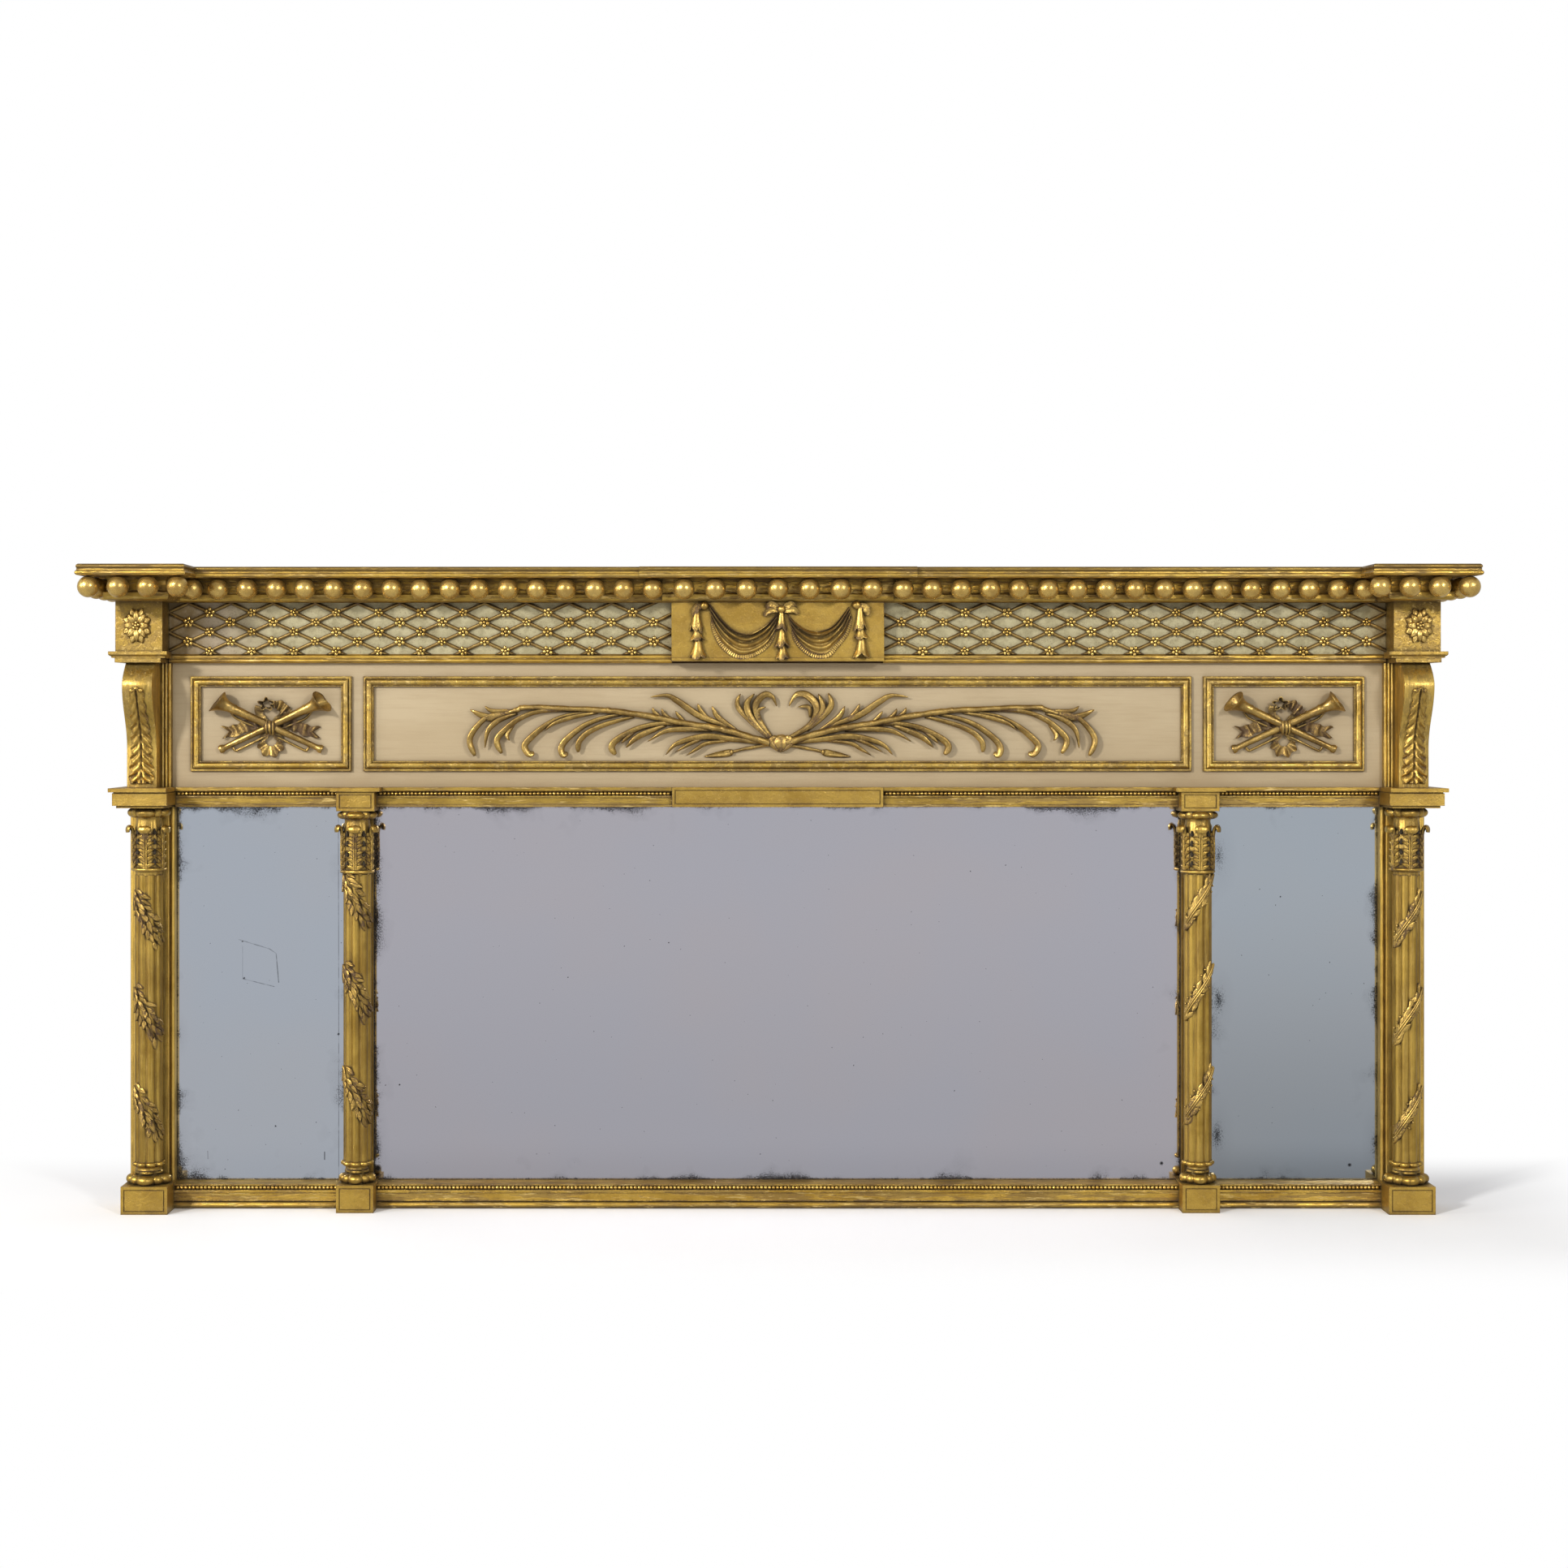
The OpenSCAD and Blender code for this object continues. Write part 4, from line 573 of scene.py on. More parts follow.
def smooth_line(points, steps):
    """A line through the points: between two of them a cubic whose end slopes are half the run past them."""
    p = np.asarray(points, float)
    a, b, c, d = (q[:, None, :] for q in (
        p[np.r_[0, 0:len(p) - 2]], p[:-1], p[1:], p[np.r_[2:len(p), len(p) - 1]]))
    t = (np.arange(steps) / steps)[None, :, None]
    line = 0.5 * (2 * b + (c - a) * t + (2 * a - 5 * b + 4 * c - d) * t**2 + (3 * b - a - 3 * c + d) * t**3)
    return np.vstack([line.reshape(-1, p.shape[1]), p[-1:]])


def follow(line):
    """Each point's share of the way along a line, as a column, its unit heading and what lies to its left."""
    run = np.gradient(line, axis=0)
    run /= np.linalg.norm(run, axis=1, keepdims=True)
    return np.linspace(0, 1, len(line))[:, None], run, np.stack([-run[:, 1], run[:, 0]], -1)


def on_bell(turn, around, up, radius, spot):
    """Points round a capital's axis: around is the arc from the turn in mm. Spot is the axis's place across
    and out, and the seat that nothing goes behind."""
    angle = turn + around / BELL_R
    x, d, seat = spot
    return in_front(np.stack([x + radius * np.sin(angle), up + 0 * angle,
                              np.maximum(d + radius * np.cos(angle), seat)], -1))


def on_bell_body(turn, around, up, out, depth, spot):
    """A closed body on the bell, between the radii out and the bell's own less a depth."""
    return leaf_body(on_bell(turn, around, up, out, spot),
                     on_bell(turn, around, up, np.full_like(out, BELL_R - depth), spot))


def bell_lobe(turn, side, up, length, width, spot):
    """A lobe of a leaf: it starts at the rib and climbs, then bends outwards as a square; its half
    width is a sine of its length to the 0.7, its face is a cosine across with a vein along the middle."""
    t, b = face_grid(9, 7)
    lean = math.radians(80.0) - 0.95 * t
    half = width / 2 * np.sin(math.pi * np.clip(0.14 + 0.82 * t, 0, 1)) ** 0.7
    around = side * (0.9 + length * (0.17 * t + 0.58 * t**2) - b * half * np.sin(lean))
    height = up + length * (0.98 * t - 0.36 * t**2) + b * half * np.cos(lean)
    out = BELL_R + 1.0 + 1.1 * t + 1.2 * np.cos(b * math.pi / 2) - 0.7 * np.exp(-(b / 0.25) ** 2)
    return on_bell_body(turn, around, height, out, 2.0, spot)


def bell_strip(turn, line, widths, thick, spot, shift=0.0, waves=0.0):
    """A strip up the bell along a line of radius past the bell against height: its section is an ellipse of
    the widths round the bell and of the given thickness, waved across its face."""
    line = smooth_line(np.add(line, (BELL_R, 0)), 5)
    t, run, _ = follow(line)
    width = np.interp(t, np.linspace(0, 1, len(widths)), widths)
    a = round_angles(24 if waves else 10)
    rise = thick / 2 * np.sin(a) * (1 + waves * np.cos(3 * math.pi * np.cos(a)))
    return tube(on_bell(turn, shift + width / 2 * np.cos(a), CAPITAL_FOOT + line[:, 1:] - run[:, :1] * rise,
                        line[:, :1] + run[:, 1:] * rise, spot))


def turned_bell(profile, spot, lobes, swell):
    """A body turned on the capital's axis from radius and height pairs, with lobes as a cosine round it."""
    radii, heights = (side[:, None] for side in np.array(profile, float).T)
    a = round_angles(72)
    return tube(on_bell(0.0, a * BELL_R, heights + 0 * a, radii * (1 + swell * np.cos(lobes * a)), spot))


def echinus_lobe(turn, shape, low, height, spot):
    """A lobe of the echinus: an upright egg whose section swells as a sine to the 0.8, cut off at the top.
    Shape says how far out it sits, its half widths along and across the ring, and its lift."""
    away, wide, deep, lift = shape
    b, v = np.linspace(0.10, math.pi - 0.10, 11)[:, None], round_angles(22)
    side, over = wide * np.sin(b) ** 0.8 * np.sin(v), away + deep * np.sin(b) ** 0.8 * np.cos(v)
    up = np.minimum(low + height * (0.50 + 0.50 * np.cos(b)) + lift, low + height + 0.1) + 0 * v
    c, s = math.cos(turn), math.sin(turn)
    return tube(in_front(np.stack([spot[0] + over * s + side * c, up,
                                   np.maximum(spot[1] + over * c - side * s, spot[2])], -1)))


def bell_leaf(turn, ring_z, spot):
    """A tall leaf: a ground with ten scallops up its sides, lobes in pairs, a twin rib and a curled tip."""
    t, b = face_grid(30, 9)
    half = (7.2 + 0.5 * np.sin(math.pi * t)) * (0.90 + 0.10 * np.abs(np.sin(math.pi * 5 * t)))
    cover = BELL_R + 0.3 + 0.8 * np.cos(b * math.pi / 2)
    bodies = [on_bell_body(turn, b * half, ring_z + 1 + t * 46, cover, 2.2, spot)]
    for pair in range(5):
        up, length, width = ring_z + 0.5 + LEAF_STEP * pair, 11.6 - 0.3 * pair, 5.4 - 0.2 * pair
        bodies += [bell_lobe(turn, side, up, length, width, spot) for side in (-1, 1)]
    bodies += [bell_strip(turn, [(1.6, 1.0), (2.0, 25), (1.6, 46)], (2.4, 1.8, 1.2), 2.6, spot, shift)
               for shift in (-1.05, 1.05)]
    tip = [(0.6, 41), (1.8, 48), (4.4, 52.6), (6.8, 52.8), (8.0, 50.0), (7.6, 46.6)]
    bodies.append(bell_strip(turn, tip, (6.0, 8.0, 10.0, 11.5, 12.0, 8.0), 4.0, spot, waves=0.20))
    return bodies


for column, place in COLUMN_PLACES.items():
    ring_z, top, echinus_h, lobe_at = CAPITALS[column.split("_")[0]]
    spot = (*place, (WALL_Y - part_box("capital_" + column)[1].y) / MM - 0.4)
    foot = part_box("column_shaft_" + column)[1].z / MM - 0.5
    echinus = top - echinus_h
    bodies = [
        turned_bell([(15.6, foot), (16.2, ring_z), (BELL_R - 0.6, ring_z + 3), (BELL_R - 0.8, 455),
                     (16.0, 466), (15.0, echinus - 3), (15.2, echinus), (17.5, echinus + 2)],
                    spot, 16, 0.018),
        turned_bell([(15.0, ring_z - 2.3), (19.2, ring_z - 2.0), (20.6, ring_z - 1.2), (21.0, ring_z),
                     (20.7, ring_z + 1.2), (19.4, ring_z + 2.0), (15.0, ring_z + 2.3)], spot, 3, 0.012),
        turned_bell([(14.0, echinus - 0.5), (15.5, echinus + 2.0), (17.0, echinus + echinus_h * 0.6),
                     (17.5, top - 1.5), (17.0, top + 0.2)], spot, 8, 0.03)]
    big, small = (lobe_at, 12.4, 10.8, 0.0), (lobe_at + 2.6, 6.0, 5.6, 0.8)
    for turn, shape in zip(np.radians([-90, -45, 0, 45, 90]), (big, small, big, small, big)):
        bodies.append(echinus_lobe(turn, shape, echinus, echinus_h, spot))
    for turn in np.radians([-70.0, 0.0, 70.0]):
        bodies += bell_leaf(turn, ring_z, spot)
    carve("carved_capital_" + column, bodies, carved_gilding, ("capital_" + column,), 60.0)
    # Dark beads in the eyes between the leaves: painted shade.
    eyes = []
    for turn in np.radians([-35.0, 35.0]):
        for up in (8.5, 20.8, 33.0, 45.0):
            for rise, wide in ((0.0, 2.2), (2.3, 1.3)):
                centre = on_bell(turn, np.array(0.0), np.array(ring_z + up + rise), np.array(BELL_R), spot)
                eyes.append(bead(centre, (wide, wide, 2.5)))
    carve("eyes_" + column, eyes, painted_shade_hollow)

# Painted frieze: a pine board under cream distemper, brushed along its length, with fine crackle, and with
# grime and painted shade towards the mouldings that shut it in.
cream_paint, cream_tree, cream_shader = material("cream_paint")
brush = noise(on_object(cream_tree, (0.05, 1.0, 1.0)), 330.0, 3.0, 0.6)
broad = noise(on_object(cream_tree, (0.4, 1.0, 1.0)), 16.0, 4.0, 0.6)
crackle = noise(on_object(cream_tree), 700.0, 2.0, 0.6)
# The colour darkens where the mouldings shut the board in: grime and painted shade.
coat(cream_shader, {"Roughness": ramp(crackle, 0.2, 0.8, 0.50, 0.68), "Base Color": layered(
    (0.368, 0.288, 0.171), (ramp(broad, 0.3, 0.7), (0.330, 0.251, 0.141)),
    (ramp(brush, 0.42, 0.75, 0.0, 0.22), (0.24, 0.170, 0.085)),
    (ramp(crackle, 0.60, 0.85, 0.0, 0.3), (0.46, 0.38, 0.25)),
    (ramp(openness(cream_tree, 0.03, 8), 0.92, 0.35) * 0.55, (0.20, 0.135, 0.062)))},
     brush * 0.7 + crackle, 0.00025, 0.7)
finish_nodes(["frieze_board"], cream_paint)

# Gilt frames planted on the frieze, mitred from moulded lengths: bright leaf rubbed along the reeds.
finish_nodes(["frieze_frame_left", "frieze_frame_centre", "frieze_frame_right"], gilding(
    "frame_gilding", (0.700, 0.475, 0.118), (0.500, 0.318, 0.066), (0.35, 1.0, 0.35), 0.56, 0.90, 0.24,
    0.0006, 0.55, 0.3))

# Palm spray: one long carving pinned to the middle of the frieze. Fronds bend over from a bark-textured stem
# on each side, plumes curl up from a bud at the knot, and a spear points outwards below it on each side.
FRIEZE_D = 30.0
SPRAY_Z = 567.0
LEFT_REACH = -0.97  # the left half of the spray is a little shorter
applied_gilding = gilding("applied_gilding", (0.58, 0.385, 0.112), (0.28, 0.172, 0.050), (1, 1, 1),
                          0.50, 1.0, 0.25, 0.0005, 0.34, 0.35)


def on_frieze(line, across, side, out):
    """Points beside a line on the frieze, with the spray's middle at its height, and never in the board."""
    x, z = line[:, :1] + across[:, :1] * side, line[:, 1:] + across[:, 1:] * side
    return in_front(np.stack([x, SPRAY_Z + z, np.maximum(out, FRIEZE_D - 0.5)], -1))


def frond_body(points, width, lift, thick, grooves=1.5, tilt=0.22, mirror=1.0, blunt=0.0):
    """A blade along a line: half width swells as a sine and tapers, or for blunt ones grows to a round tip;
    the front is a sine arch with lengthwise grooves, the back is flat. Lift gives the height off the ground
    at the root, the middle and the tip."""
    line = smooth_line(points, 6) * (mirror, 1)
    t, _, across = follow(line)
    pointed = 0.45 * (1 - t) + 0.12 * t + 0.75 * np.sin(math.pi * t)
    spoon = (0.38 + 0.62 * t) * np.clip((1.02 - t) / 0.14, 0, 1) ** 0.5
    half = width / 2 * ((1 - blunt) * pointed + blunt * spoon)
    a = round_angles(18)
    u, v = np.cos(a), np.sin(a)
    arch = np.where(v > 0, np.abs(v) ** 0.75 * (0.84 + 0.16 * np.cos(2 * math.pi * grooves * u)), 0.25 * v)
    ground = lift[0] * (1 - t) ** 2 + 2 * lift[1] * t * (1 - t) + lift[2] * t**2
    swell = np.clip(0.35 + 1.1 * np.sin(math.pi * t) ** 0.7, 0, 1)
    out = FRIEZE_D + ground + thick * swell * arch + tilt * half * u
    return tube(on_frieze(line, across * math.copysign(1, mirror), half * u, out))


def bark_stem(points, width, lift, mirror=1.0):
    """A round stem along a line, its radius roughened like bark by two crossing waves and a slower one."""
    line = smooth_line(points, 12) * (mirror, 1)
    t, _, across = follow(line)
    a, s = round_angles(16), np.arange(len(line))[:, None]
    rough = 1 + 0.10 * np.sin(1.9 * s + 3 * a) * np.sin(2.7 * s - 4 * a) + 0.07 * np.sin(0.8 * s + 2 * a)
    radius = width / 2 * (1.05 - 0.35 * t) * rough
    ground = lift * np.sin(math.pi * np.clip(t * 0.8 + 0.2, 0, 1))
    out = FRIEZE_D + ground + width * 0.42 + radius * np.sin(a)
    return tube(on_frieze(line, across, radius * np.cos(a), out))


MAIN_STEM = [(10, -1), (57, 12.7), (81, 17.8), (116.5, 23), (159, 31.5), (205, 38), (226, 39.5),
             (311, 42.5), (326.5, 39.5), (341.6, 35)]
SPEAR_STEM, SPEAR = [(6, -2), (40, -8), (58, -12.4)], [(54, -11.6), (62, -13.4), (89, -17.5)]
# Each leaf is its line and its width.
HANGING_FRONDS = [
    ([(8, -2), (57, 4), (91, 7), (125, -1), (140, -15)], 6.0),
    ([(57, 2), (88, -1), (101, -8), (114, -16)], 3.8), ([(88, 6), (108, -1), (128, -12)], 3.4),
    ([(82, 14), (108, 16), (139, 14), (162.5, 1)], 5.0),
    ([(116.5, 20), (142, 23), (168, 19), (188, 11), (204, 1), (208, -7), (203, -15)], 7.5),
    ([(139, 21), (173, 8), (190, -6.5)], 5.4), ([(175, 16), (188, 6), (196, -1.4)], 3.4),
    ([(180, 31), (198, 27), (221, 20), (239, 11), (249, 0), (250, -12)], 6.4),
    ([(196, 34), (221, 29), (243, 20), (263, 5), (271, -6), (269, -15), (263, -13)], 7.4),
    ([(225, 36), (251, 32), (278, 24), (292, 14)], 4.0),
    ([(228, 37), (266, 32), (290, 21), (307, 8), (317, -4), (312, -14), (305, -13)], 7.4),
    ([(251, 39), (296, 38), (323.5, 29), (342, 15), (352, 2), (346, -13.5)], 6.8),
    ([(331, 21), (339, 9), (336, 2)], 3.6), ([(326.5, 35), (349, 27), (363, 14), (367, -7)], 5.0),
    ([(334, 36), (361, 32), (378, 18), (386, 2), (379.5, -16.5)], 6.6)]
STANDING_LEAVES = [
    ([(47, 12), (74, 23), (99.5, 33), (125, 50), (139, 57), (159, 55)], 7.0),
    ([(48, 12), (74, 30), (82, 44)], 5.6),
    ([(82.5, 24), (96, 38), (100, 47)], 4.6), ([(113, 22), (123, 31), (128, 38)], 4.0),
    ([(128, 25), (142, 34), (145, 41)], 4.0), ([(142, 29), (154, 36), (156.5, 42.5)], 4.0),
    ([(336, 36), (361, 30), (385.5, 39.5)], 8.0), ([(328, 39), (357, 38), (367, 44)], 4.6)]
PLUMES = [
    ([(8, 2), (40, 21), (48, 42), (36.5, 57), (23, 58), (14, 44)], 8.0),
    ([(40, 30), (38, 43), (25, 43)], 4.4), ([(34, 15), (55, 38), (50, 59)], 6.6),
    ([(36, 14), (64, 42), (62, 60)], 6.6),
    ([(-4, 2), (-21, 25), (-26.5, 45), (-16, 58), (-6, 55), (-1, 44)], 7.0),
    ([(-20, 22), (-24, 38), (-14, 43)], 4.0), ([(-8, 4), (-32, 30), (-37, 47), (-28, 59)], 7.4),
    ([(-10, 4), (-42, 35), (-49, 48.5), (-45, 59)], 5.6)]
BUD_LEAVES = [([(-2, 8), (-7.5, 0), (2, -11.5)], 7.5), ([(3.5, 9), (4.5, -1), (4, -12)], 7.0),
              ([(10.5, 8), (16, 0), (6, -11.5)], 7.5)]
spray = []
for hand, reach in ((1, 1.0), (-1, LEFT_REACH)):
    for line, width in HANGING_FRONDS:
        blunt = 0.75 if width > 6 else 0.0
        spray.append(frond_body(line, width * 1.32, (0.8, 8.4, 5.2), 4.6, 1.5, 0.30, reach, blunt))
    spray += [frond_body(line, width * 1.15, (1.0, 5.0, 4.6), 4.2, mirror=reach)
              for line, width in STANDING_LEAVES]
    spray.append(bark_stem(MAIN_STEM, 8.4, 1.6, reach))
    spray.append(bark_stem(SPEAR_STEM, 4.4, 0.8, hand))
    spray.append(frond_body(SPEAR, 8.6, (0.6, 1.2, 0.8), 3.4, 2.0, 0.0, hand))
    spray.append(knob(hand * 55.5, SPRAY_Z - 12, FRIEZE_D + 3.4, (2.0, 2.4, 3.4)))
spray += [frond_body(line, width * 1.22, (1.6, 6.0, 3.2), 4.6, 1.4, 0.22) for line, width in PLUMES]
spray.append(knob(4.5, SPRAY_Z - 1, FRIEZE_D + 2.5, (12.0, 6.6, 10.6), 24, 14))
spray += [frond_body(line, width, (4.6, 7.0, 4.6), 2.4, 1.0, 0.0) for line, width in BUD_LEAVES]
carve("carved_palm_spray", spray, applied_gilding, ("palm_spray",), 70.0)

# Trophies: two crossed trumpets with a ruffled ribbon, carved and pinned to each end panel. The trumpets are
# turned, with a dished bell and a thin tube under each; the ribbon is thin, pleated and cut to forked ends.
TROPHY_X, TROPHY_Z = 616.65, 583.0
TRUMPET_TURN, TRUMPET_TILT = math.radians(25.0), 0.07
# The place along the trumpet and the radius there.
TRUMPET = [(-69, 0.6), (-69, 4.6), (-66.5, 5.4), (-64.5, 4.8), (-62, 3.5), (-58, 3.4), (-30, 3.9), (0, 4.4),
           (30, 4.9), (45, 5.4), (47, 6.5), (49, 5.8), (55, 6.4), (60, 7.8), (64.5, 10.2), (68, 13.0),
           (69.8, 14.6), (70.6, 14.8), (70.9, 13.9), (69.2, 11.2), (66, 8.0), (62, 5.4), (57, 3.4), (52, 1.6)]
THIN_TUBE = [(-53, -4.0, 4.4), (-52, -8.4, 4), (-46, -9.6, 3.8), (0, -8.6, 4), (34, -9.6, 4), (44, -9.0, 4.2),
             (52, -5.0, 4.8)]
RIBBON_END = [(4, 0), (16, 5), (30, 4), (44, -2), (60, -4)]
# Each short band is its line, width, pleats, their depth and its height over the board.
RIBBON_BANDS = [([(-3, 6), (-11, 13), (-14.5, 21), (-13, 28)], 10, 1.4, 1.2, 5.0),
                ([(3, 30), (10, 29), (17, 23), (22, 17)], 13, 3.5, 1.9, 4.5),
                ([(3, 6), (8, 12), (14, 18), (18, 22)], 8, 1.5, 1.2, 3.6),
                ([(-3, -2), (-9, -10), (-12, -16)], 9, 1.0, 1.0, 4.0),
                ([(3, -2), (9, -10), (12, -16)], 9, 1.0, 1.0, 4.0)]


def lay_down(points, centre):
    """Moves points across and up to the centre and presses what would pass through the board flat on it."""
    p = np.array(points, float)
    p[..., :2] += centre
    p[..., 2] = np.maximum(p[..., 2], -0.5) + FRIEZE_D
    return in_front(p)


def swing(along, up, angle):
    """A pair of coordinates turned by an angle."""
    c, s = math.cos(angle), math.sin(angle)
    return along * c - up * s, along * s + up * c


def trumpet(hand, rise, slant, centre):
    """Rings of the profile's radii along an axis turned in the board's plane and tipped forward. Past 50 mm
    the rings lean: slant is the shift along the axis per millimetre up and per millimetre out."""
    s, r = (side[:, None] for side in np.array(TRUMPET, float).T)
    a = round_angles(30)
    along, up, out = s + 0 * a, r * np.cos(a), r * np.sin(a)
    along = along - np.clip((along - 50) / 20, 0, 1) * (slant[0] * up + slant[1] * out)
    along, out = swing(along, out, TRUMPET_TILT)
    x, z = swing(along, up, TRUMPET_TURN)
    return tube(lay_down(np.stack([hand * x, z, out + rise], -1), centre))


def rod(points, radius, centre):
    """A thin rod of one radius along a line of points given across, up and out."""
    line = smooth_line(points, 5)
    run = follow(line)[1]
    side = np.cross(run, [0.0, 0.0, 1.0])
    side /= np.linalg.norm(side, axis=1, keepdims=True)
    a = round_angles(8)[..., None]
    section = side[:, None] * np.cos(a) + np.cross(side, run)[:, None] * np.sin(a)
    return tube(lay_down(line[:, None] + radius * section, centre))


def ribbon_band(points, width, pleats, depth, level, centre, fork=0.0, phase=0.0):
    """A thin pleated band along a line: its height is a sine along its length that runs a little slanted and
    rises towards one edge, and the end is cut back in the middle by fork."""
    line = smooth_line(points, 10)
    _, run, across = follow(line)
    t, b = face_grid(len(line), 7)
    wave = 2 * math.pi * pleats * t + phase
    shift = -fork * (1 - np.abs(b)) * np.clip((t - 0.7) / 0.3, 0, 1)
    half = width / 2 * (0.45 + 0.55 * np.clip(t * 3, 0, 1)) * (1 + 0.12 * np.sin(wave))
    flat = line[:, None] + across[:, None] * (half * b)[..., None] + run[:, None] * shift[..., None]
    front = np.dstack([flat, np.maximum(level + depth * np.sin(wave + 0.6 * b) + 0.8 * b, 0.6)])
    return leaf_body(lay_down(front, centre), lay_down(front - [0, 0, 1.3], centre))


def ruffled_cup(at, radius, waves, height, centre):
    """A ruffled cup: its radius plus a sine round it, opening outwards from its foot to its lip."""
    t, a = np.meshgrid(np.linspace(0, 1, 7), np.linspace(0, 2 * math.pi, 60), indexing="ij")
    r = radius * (0.72 + 0.28 * t) + (0.6 + 2.0 * t) * np.sin(waves * a)
    out = height * t + 0.8 * t * np.cos(waves * a)
    front, inner = (np.stack([at[0] + side * np.cos(a), at[1] + 0.82 * side * np.sin(a), out], -1)
                    for side in (r, r - 1.3))
    return leaf_body(lay_down(front, centre), lay_down(inner, centre))


def pleated_fan(at, inner, outer, start, stop, pleats, centre):
    """Part of a ring from the start to the stop angle, pleated by a sine that grows outwards."""
    t, a = np.meshgrid(np.linspace(0, 1, 7), np.linspace(start, stop, 66), indexing="ij")
    fold = pleats * (a - start)
    fade = np.sin(math.pi * (a - start) / (stop - start)) ** 0.4
    r = inner + (outer * (1 - 0.10 * np.cos(fold)) - inner) * t * (0.35 + 0.65 * fade)
    out = 3.4 + 2.2 * t * np.sin(fold) + 1.5 * t
    front = np.stack([at[0] + r * np.cos(a), at[1] + r * np.sin(a), np.maximum(out, 0.8)], -1)
    return leaf_body(lay_down(front, centre), lay_down(front - [0, 0, 1.6], centre))


for hand_name, x in (("left", -TROPHY_X), ("right", TROPHY_X)):
    centre, cross = (x, TROPHY_Z), (x, TROPHY_Z + 4)
    bodies = [trumpet(1, 7.0, (0.22, 0.24), cross), trumpet(-1, 8.5, (0.26, 0.16), cross),
              ruffled_cup((-5.0, 30.5), 8.6, 5, 9.0, centre),
              pleated_fan((0, -14), 7.0, 19.5, math.radians(185), math.radians(355), 9, centre),
              knob(x, TROPHY_Z + 2.5, FRIEZE_D + 9.5, (7.6, 6.2, 8.2), 18, 10)]
    bodies += [ribbon_band(*band, centre) for band in RIBBON_BANDS]
    for hand in (1, -1):
        bent = [(*swing(along, up, TRUMPET_TURN), out) for along, up, out in THIN_TUBE]
        end = np.multiply(RIBBON_END, (hand, 1))
        bodies.append(rod(np.multiply(bent, (hand, 1, 1)), 1.6, cross))
        bodies.append(ribbon_band(end, 14, 4.5, 1.9, 3.2, centre, 9.0, 0.7 * hand))
    ring = np.linspace(-1.25, 1.25, 14)[::3]
    for turn in (-0.5, 0.1, 0.6):
        wrap = np.stack([7.4 * np.sin(turn) + 0 * ring, 2.0 + 8.4 * np.sin(ring),
                         9.5 + 6.4 * np.cos(ring) * math.cos(turn)], -1)
        bodies.append(rod(wrap, 1.5, centre))
    carve("carved_trophy_" + hand_name, bodies, applied_gilding, ("trophy_" + hand_name,), 65.0)

# Consoles: S-shaped brackets sawn from the plank, with an acanthus leaf carved down the front of each and a
# reeded strip beside it. The leaf hangs from a curl under the sub-plate and widens towards the foot.
CONSOLE_FOOT_Z, CONSOLE_H = 512.5, 150.8
CONSOLE_X0, CONSOLE_X1, CONSOLE_MIDDLE = 749.6, 786.0, 767.8
STRIP_D = FRIEZE_D + 7.0
console_gilding = gilding("console_gilding", (0.74, 0.495, 0.118), (0.52, 0.338, 0.072), (1.0, 1.0, 0.12),
                          0.56, 0.60, 0.27, 0.0005, 0.40, 0.5)


def console_front(t):
    """Depth of the console's front at a share t of its height: 59 at the foot, swelling as a squared sine to
    84 at 0.82 and falling back as a power above it."""
    rising = 59 + 25 * np.sin(math.pi / 2 * np.clip((t - 0.32) / 0.5, 0, 1)) ** 2
    return np.where(t < 0.82, rising, 84 - 20 * np.clip((t - 0.82) / 0.18, 0, 1) ** 1.6)


def relief(flat, out, ground):
    """A closed body over a grid of places across and up: its carved face lies at out, its back at ground."""
    return leaf_body(in_front(np.dstack([flat, out])), in_front(np.dstack([flat, ground + 0 * out])))


def acanthus(middle):
    """A long leaf on the console's front: nine lobes down each edge, veins that slant down to the edge, a
    rib on each side of a groove along the middle, and a top that curls forward."""
    s, b = face_grid(72, 25)
    t, away = 0.79 - 0.755 * s, np.abs(b)
    lobe = 0.72 + 0.28 * np.abs(np.sin(math.pi * 9 * s**1.15 + 0.4)) ** 0.6
    half = (8.6 + 7.2 * s) * lobe * np.clip(s * 14 + 0.35, 0, 1) ** 0.5
    vein = (0.8 + 1.2 * s) * np.cos(2 * math.pi * (9 * s**1.15 - 1.10 * away)) * np.clip(away * 2.2, 0, 1)
    vein += 0.35 * np.cos(2 * math.pi * (23 * s - 2.6 * away))
    groove, rib = 1.9 * np.exp(-(b / 0.10) ** 2), 0.9 * np.exp(-((away - 0.24) / 0.10) ** 2)
    out = console_front(t) + 3.8 + vein - groove + rib + (3.0 * np.exp(-(s / 0.05) ** 2) - 1.9 * away**3)
    flat = np.stack([middle + b * half, CONSOLE_FOOT_Z + CONSOLE_H * t], -1)
    return relief(flat, out, console_front(t) + 1.2)


def console_block(hand, seat):
    """The bracket: an oblong section with eased corners at each height, as deep as the front line there."""
    t = np.linspace(0, 1, 110)[:, None]
    eased, drop = np.array([0.0, 0.0, 0.5, 1.6]), np.array([0.0, 1.6, 0.5, 0.0])
    x = np.r_[CONSOLE_X0 + eased, CONSOLE_X1 - eased[::-1]]
    out = console_front(t) - np.r_[drop, drop[::-1]]
    out[:, [0, 7]] = seat
    return tube(in_front(np.stack([hand * x + 0 * t, CONSOLE_FOOT_Z + CONSOLE_H * t + 0 * x, out], -1)))


def upright(x, out):
    """A straight length of one section, as high as the console."""
    up = np.array([0.0, CONSOLE_H])[:, None]
    return tube(in_front(np.stack([x + 0 * up, CONSOLE_FOOT_Z + up + 0 * x, out + 0 * up], -1)))


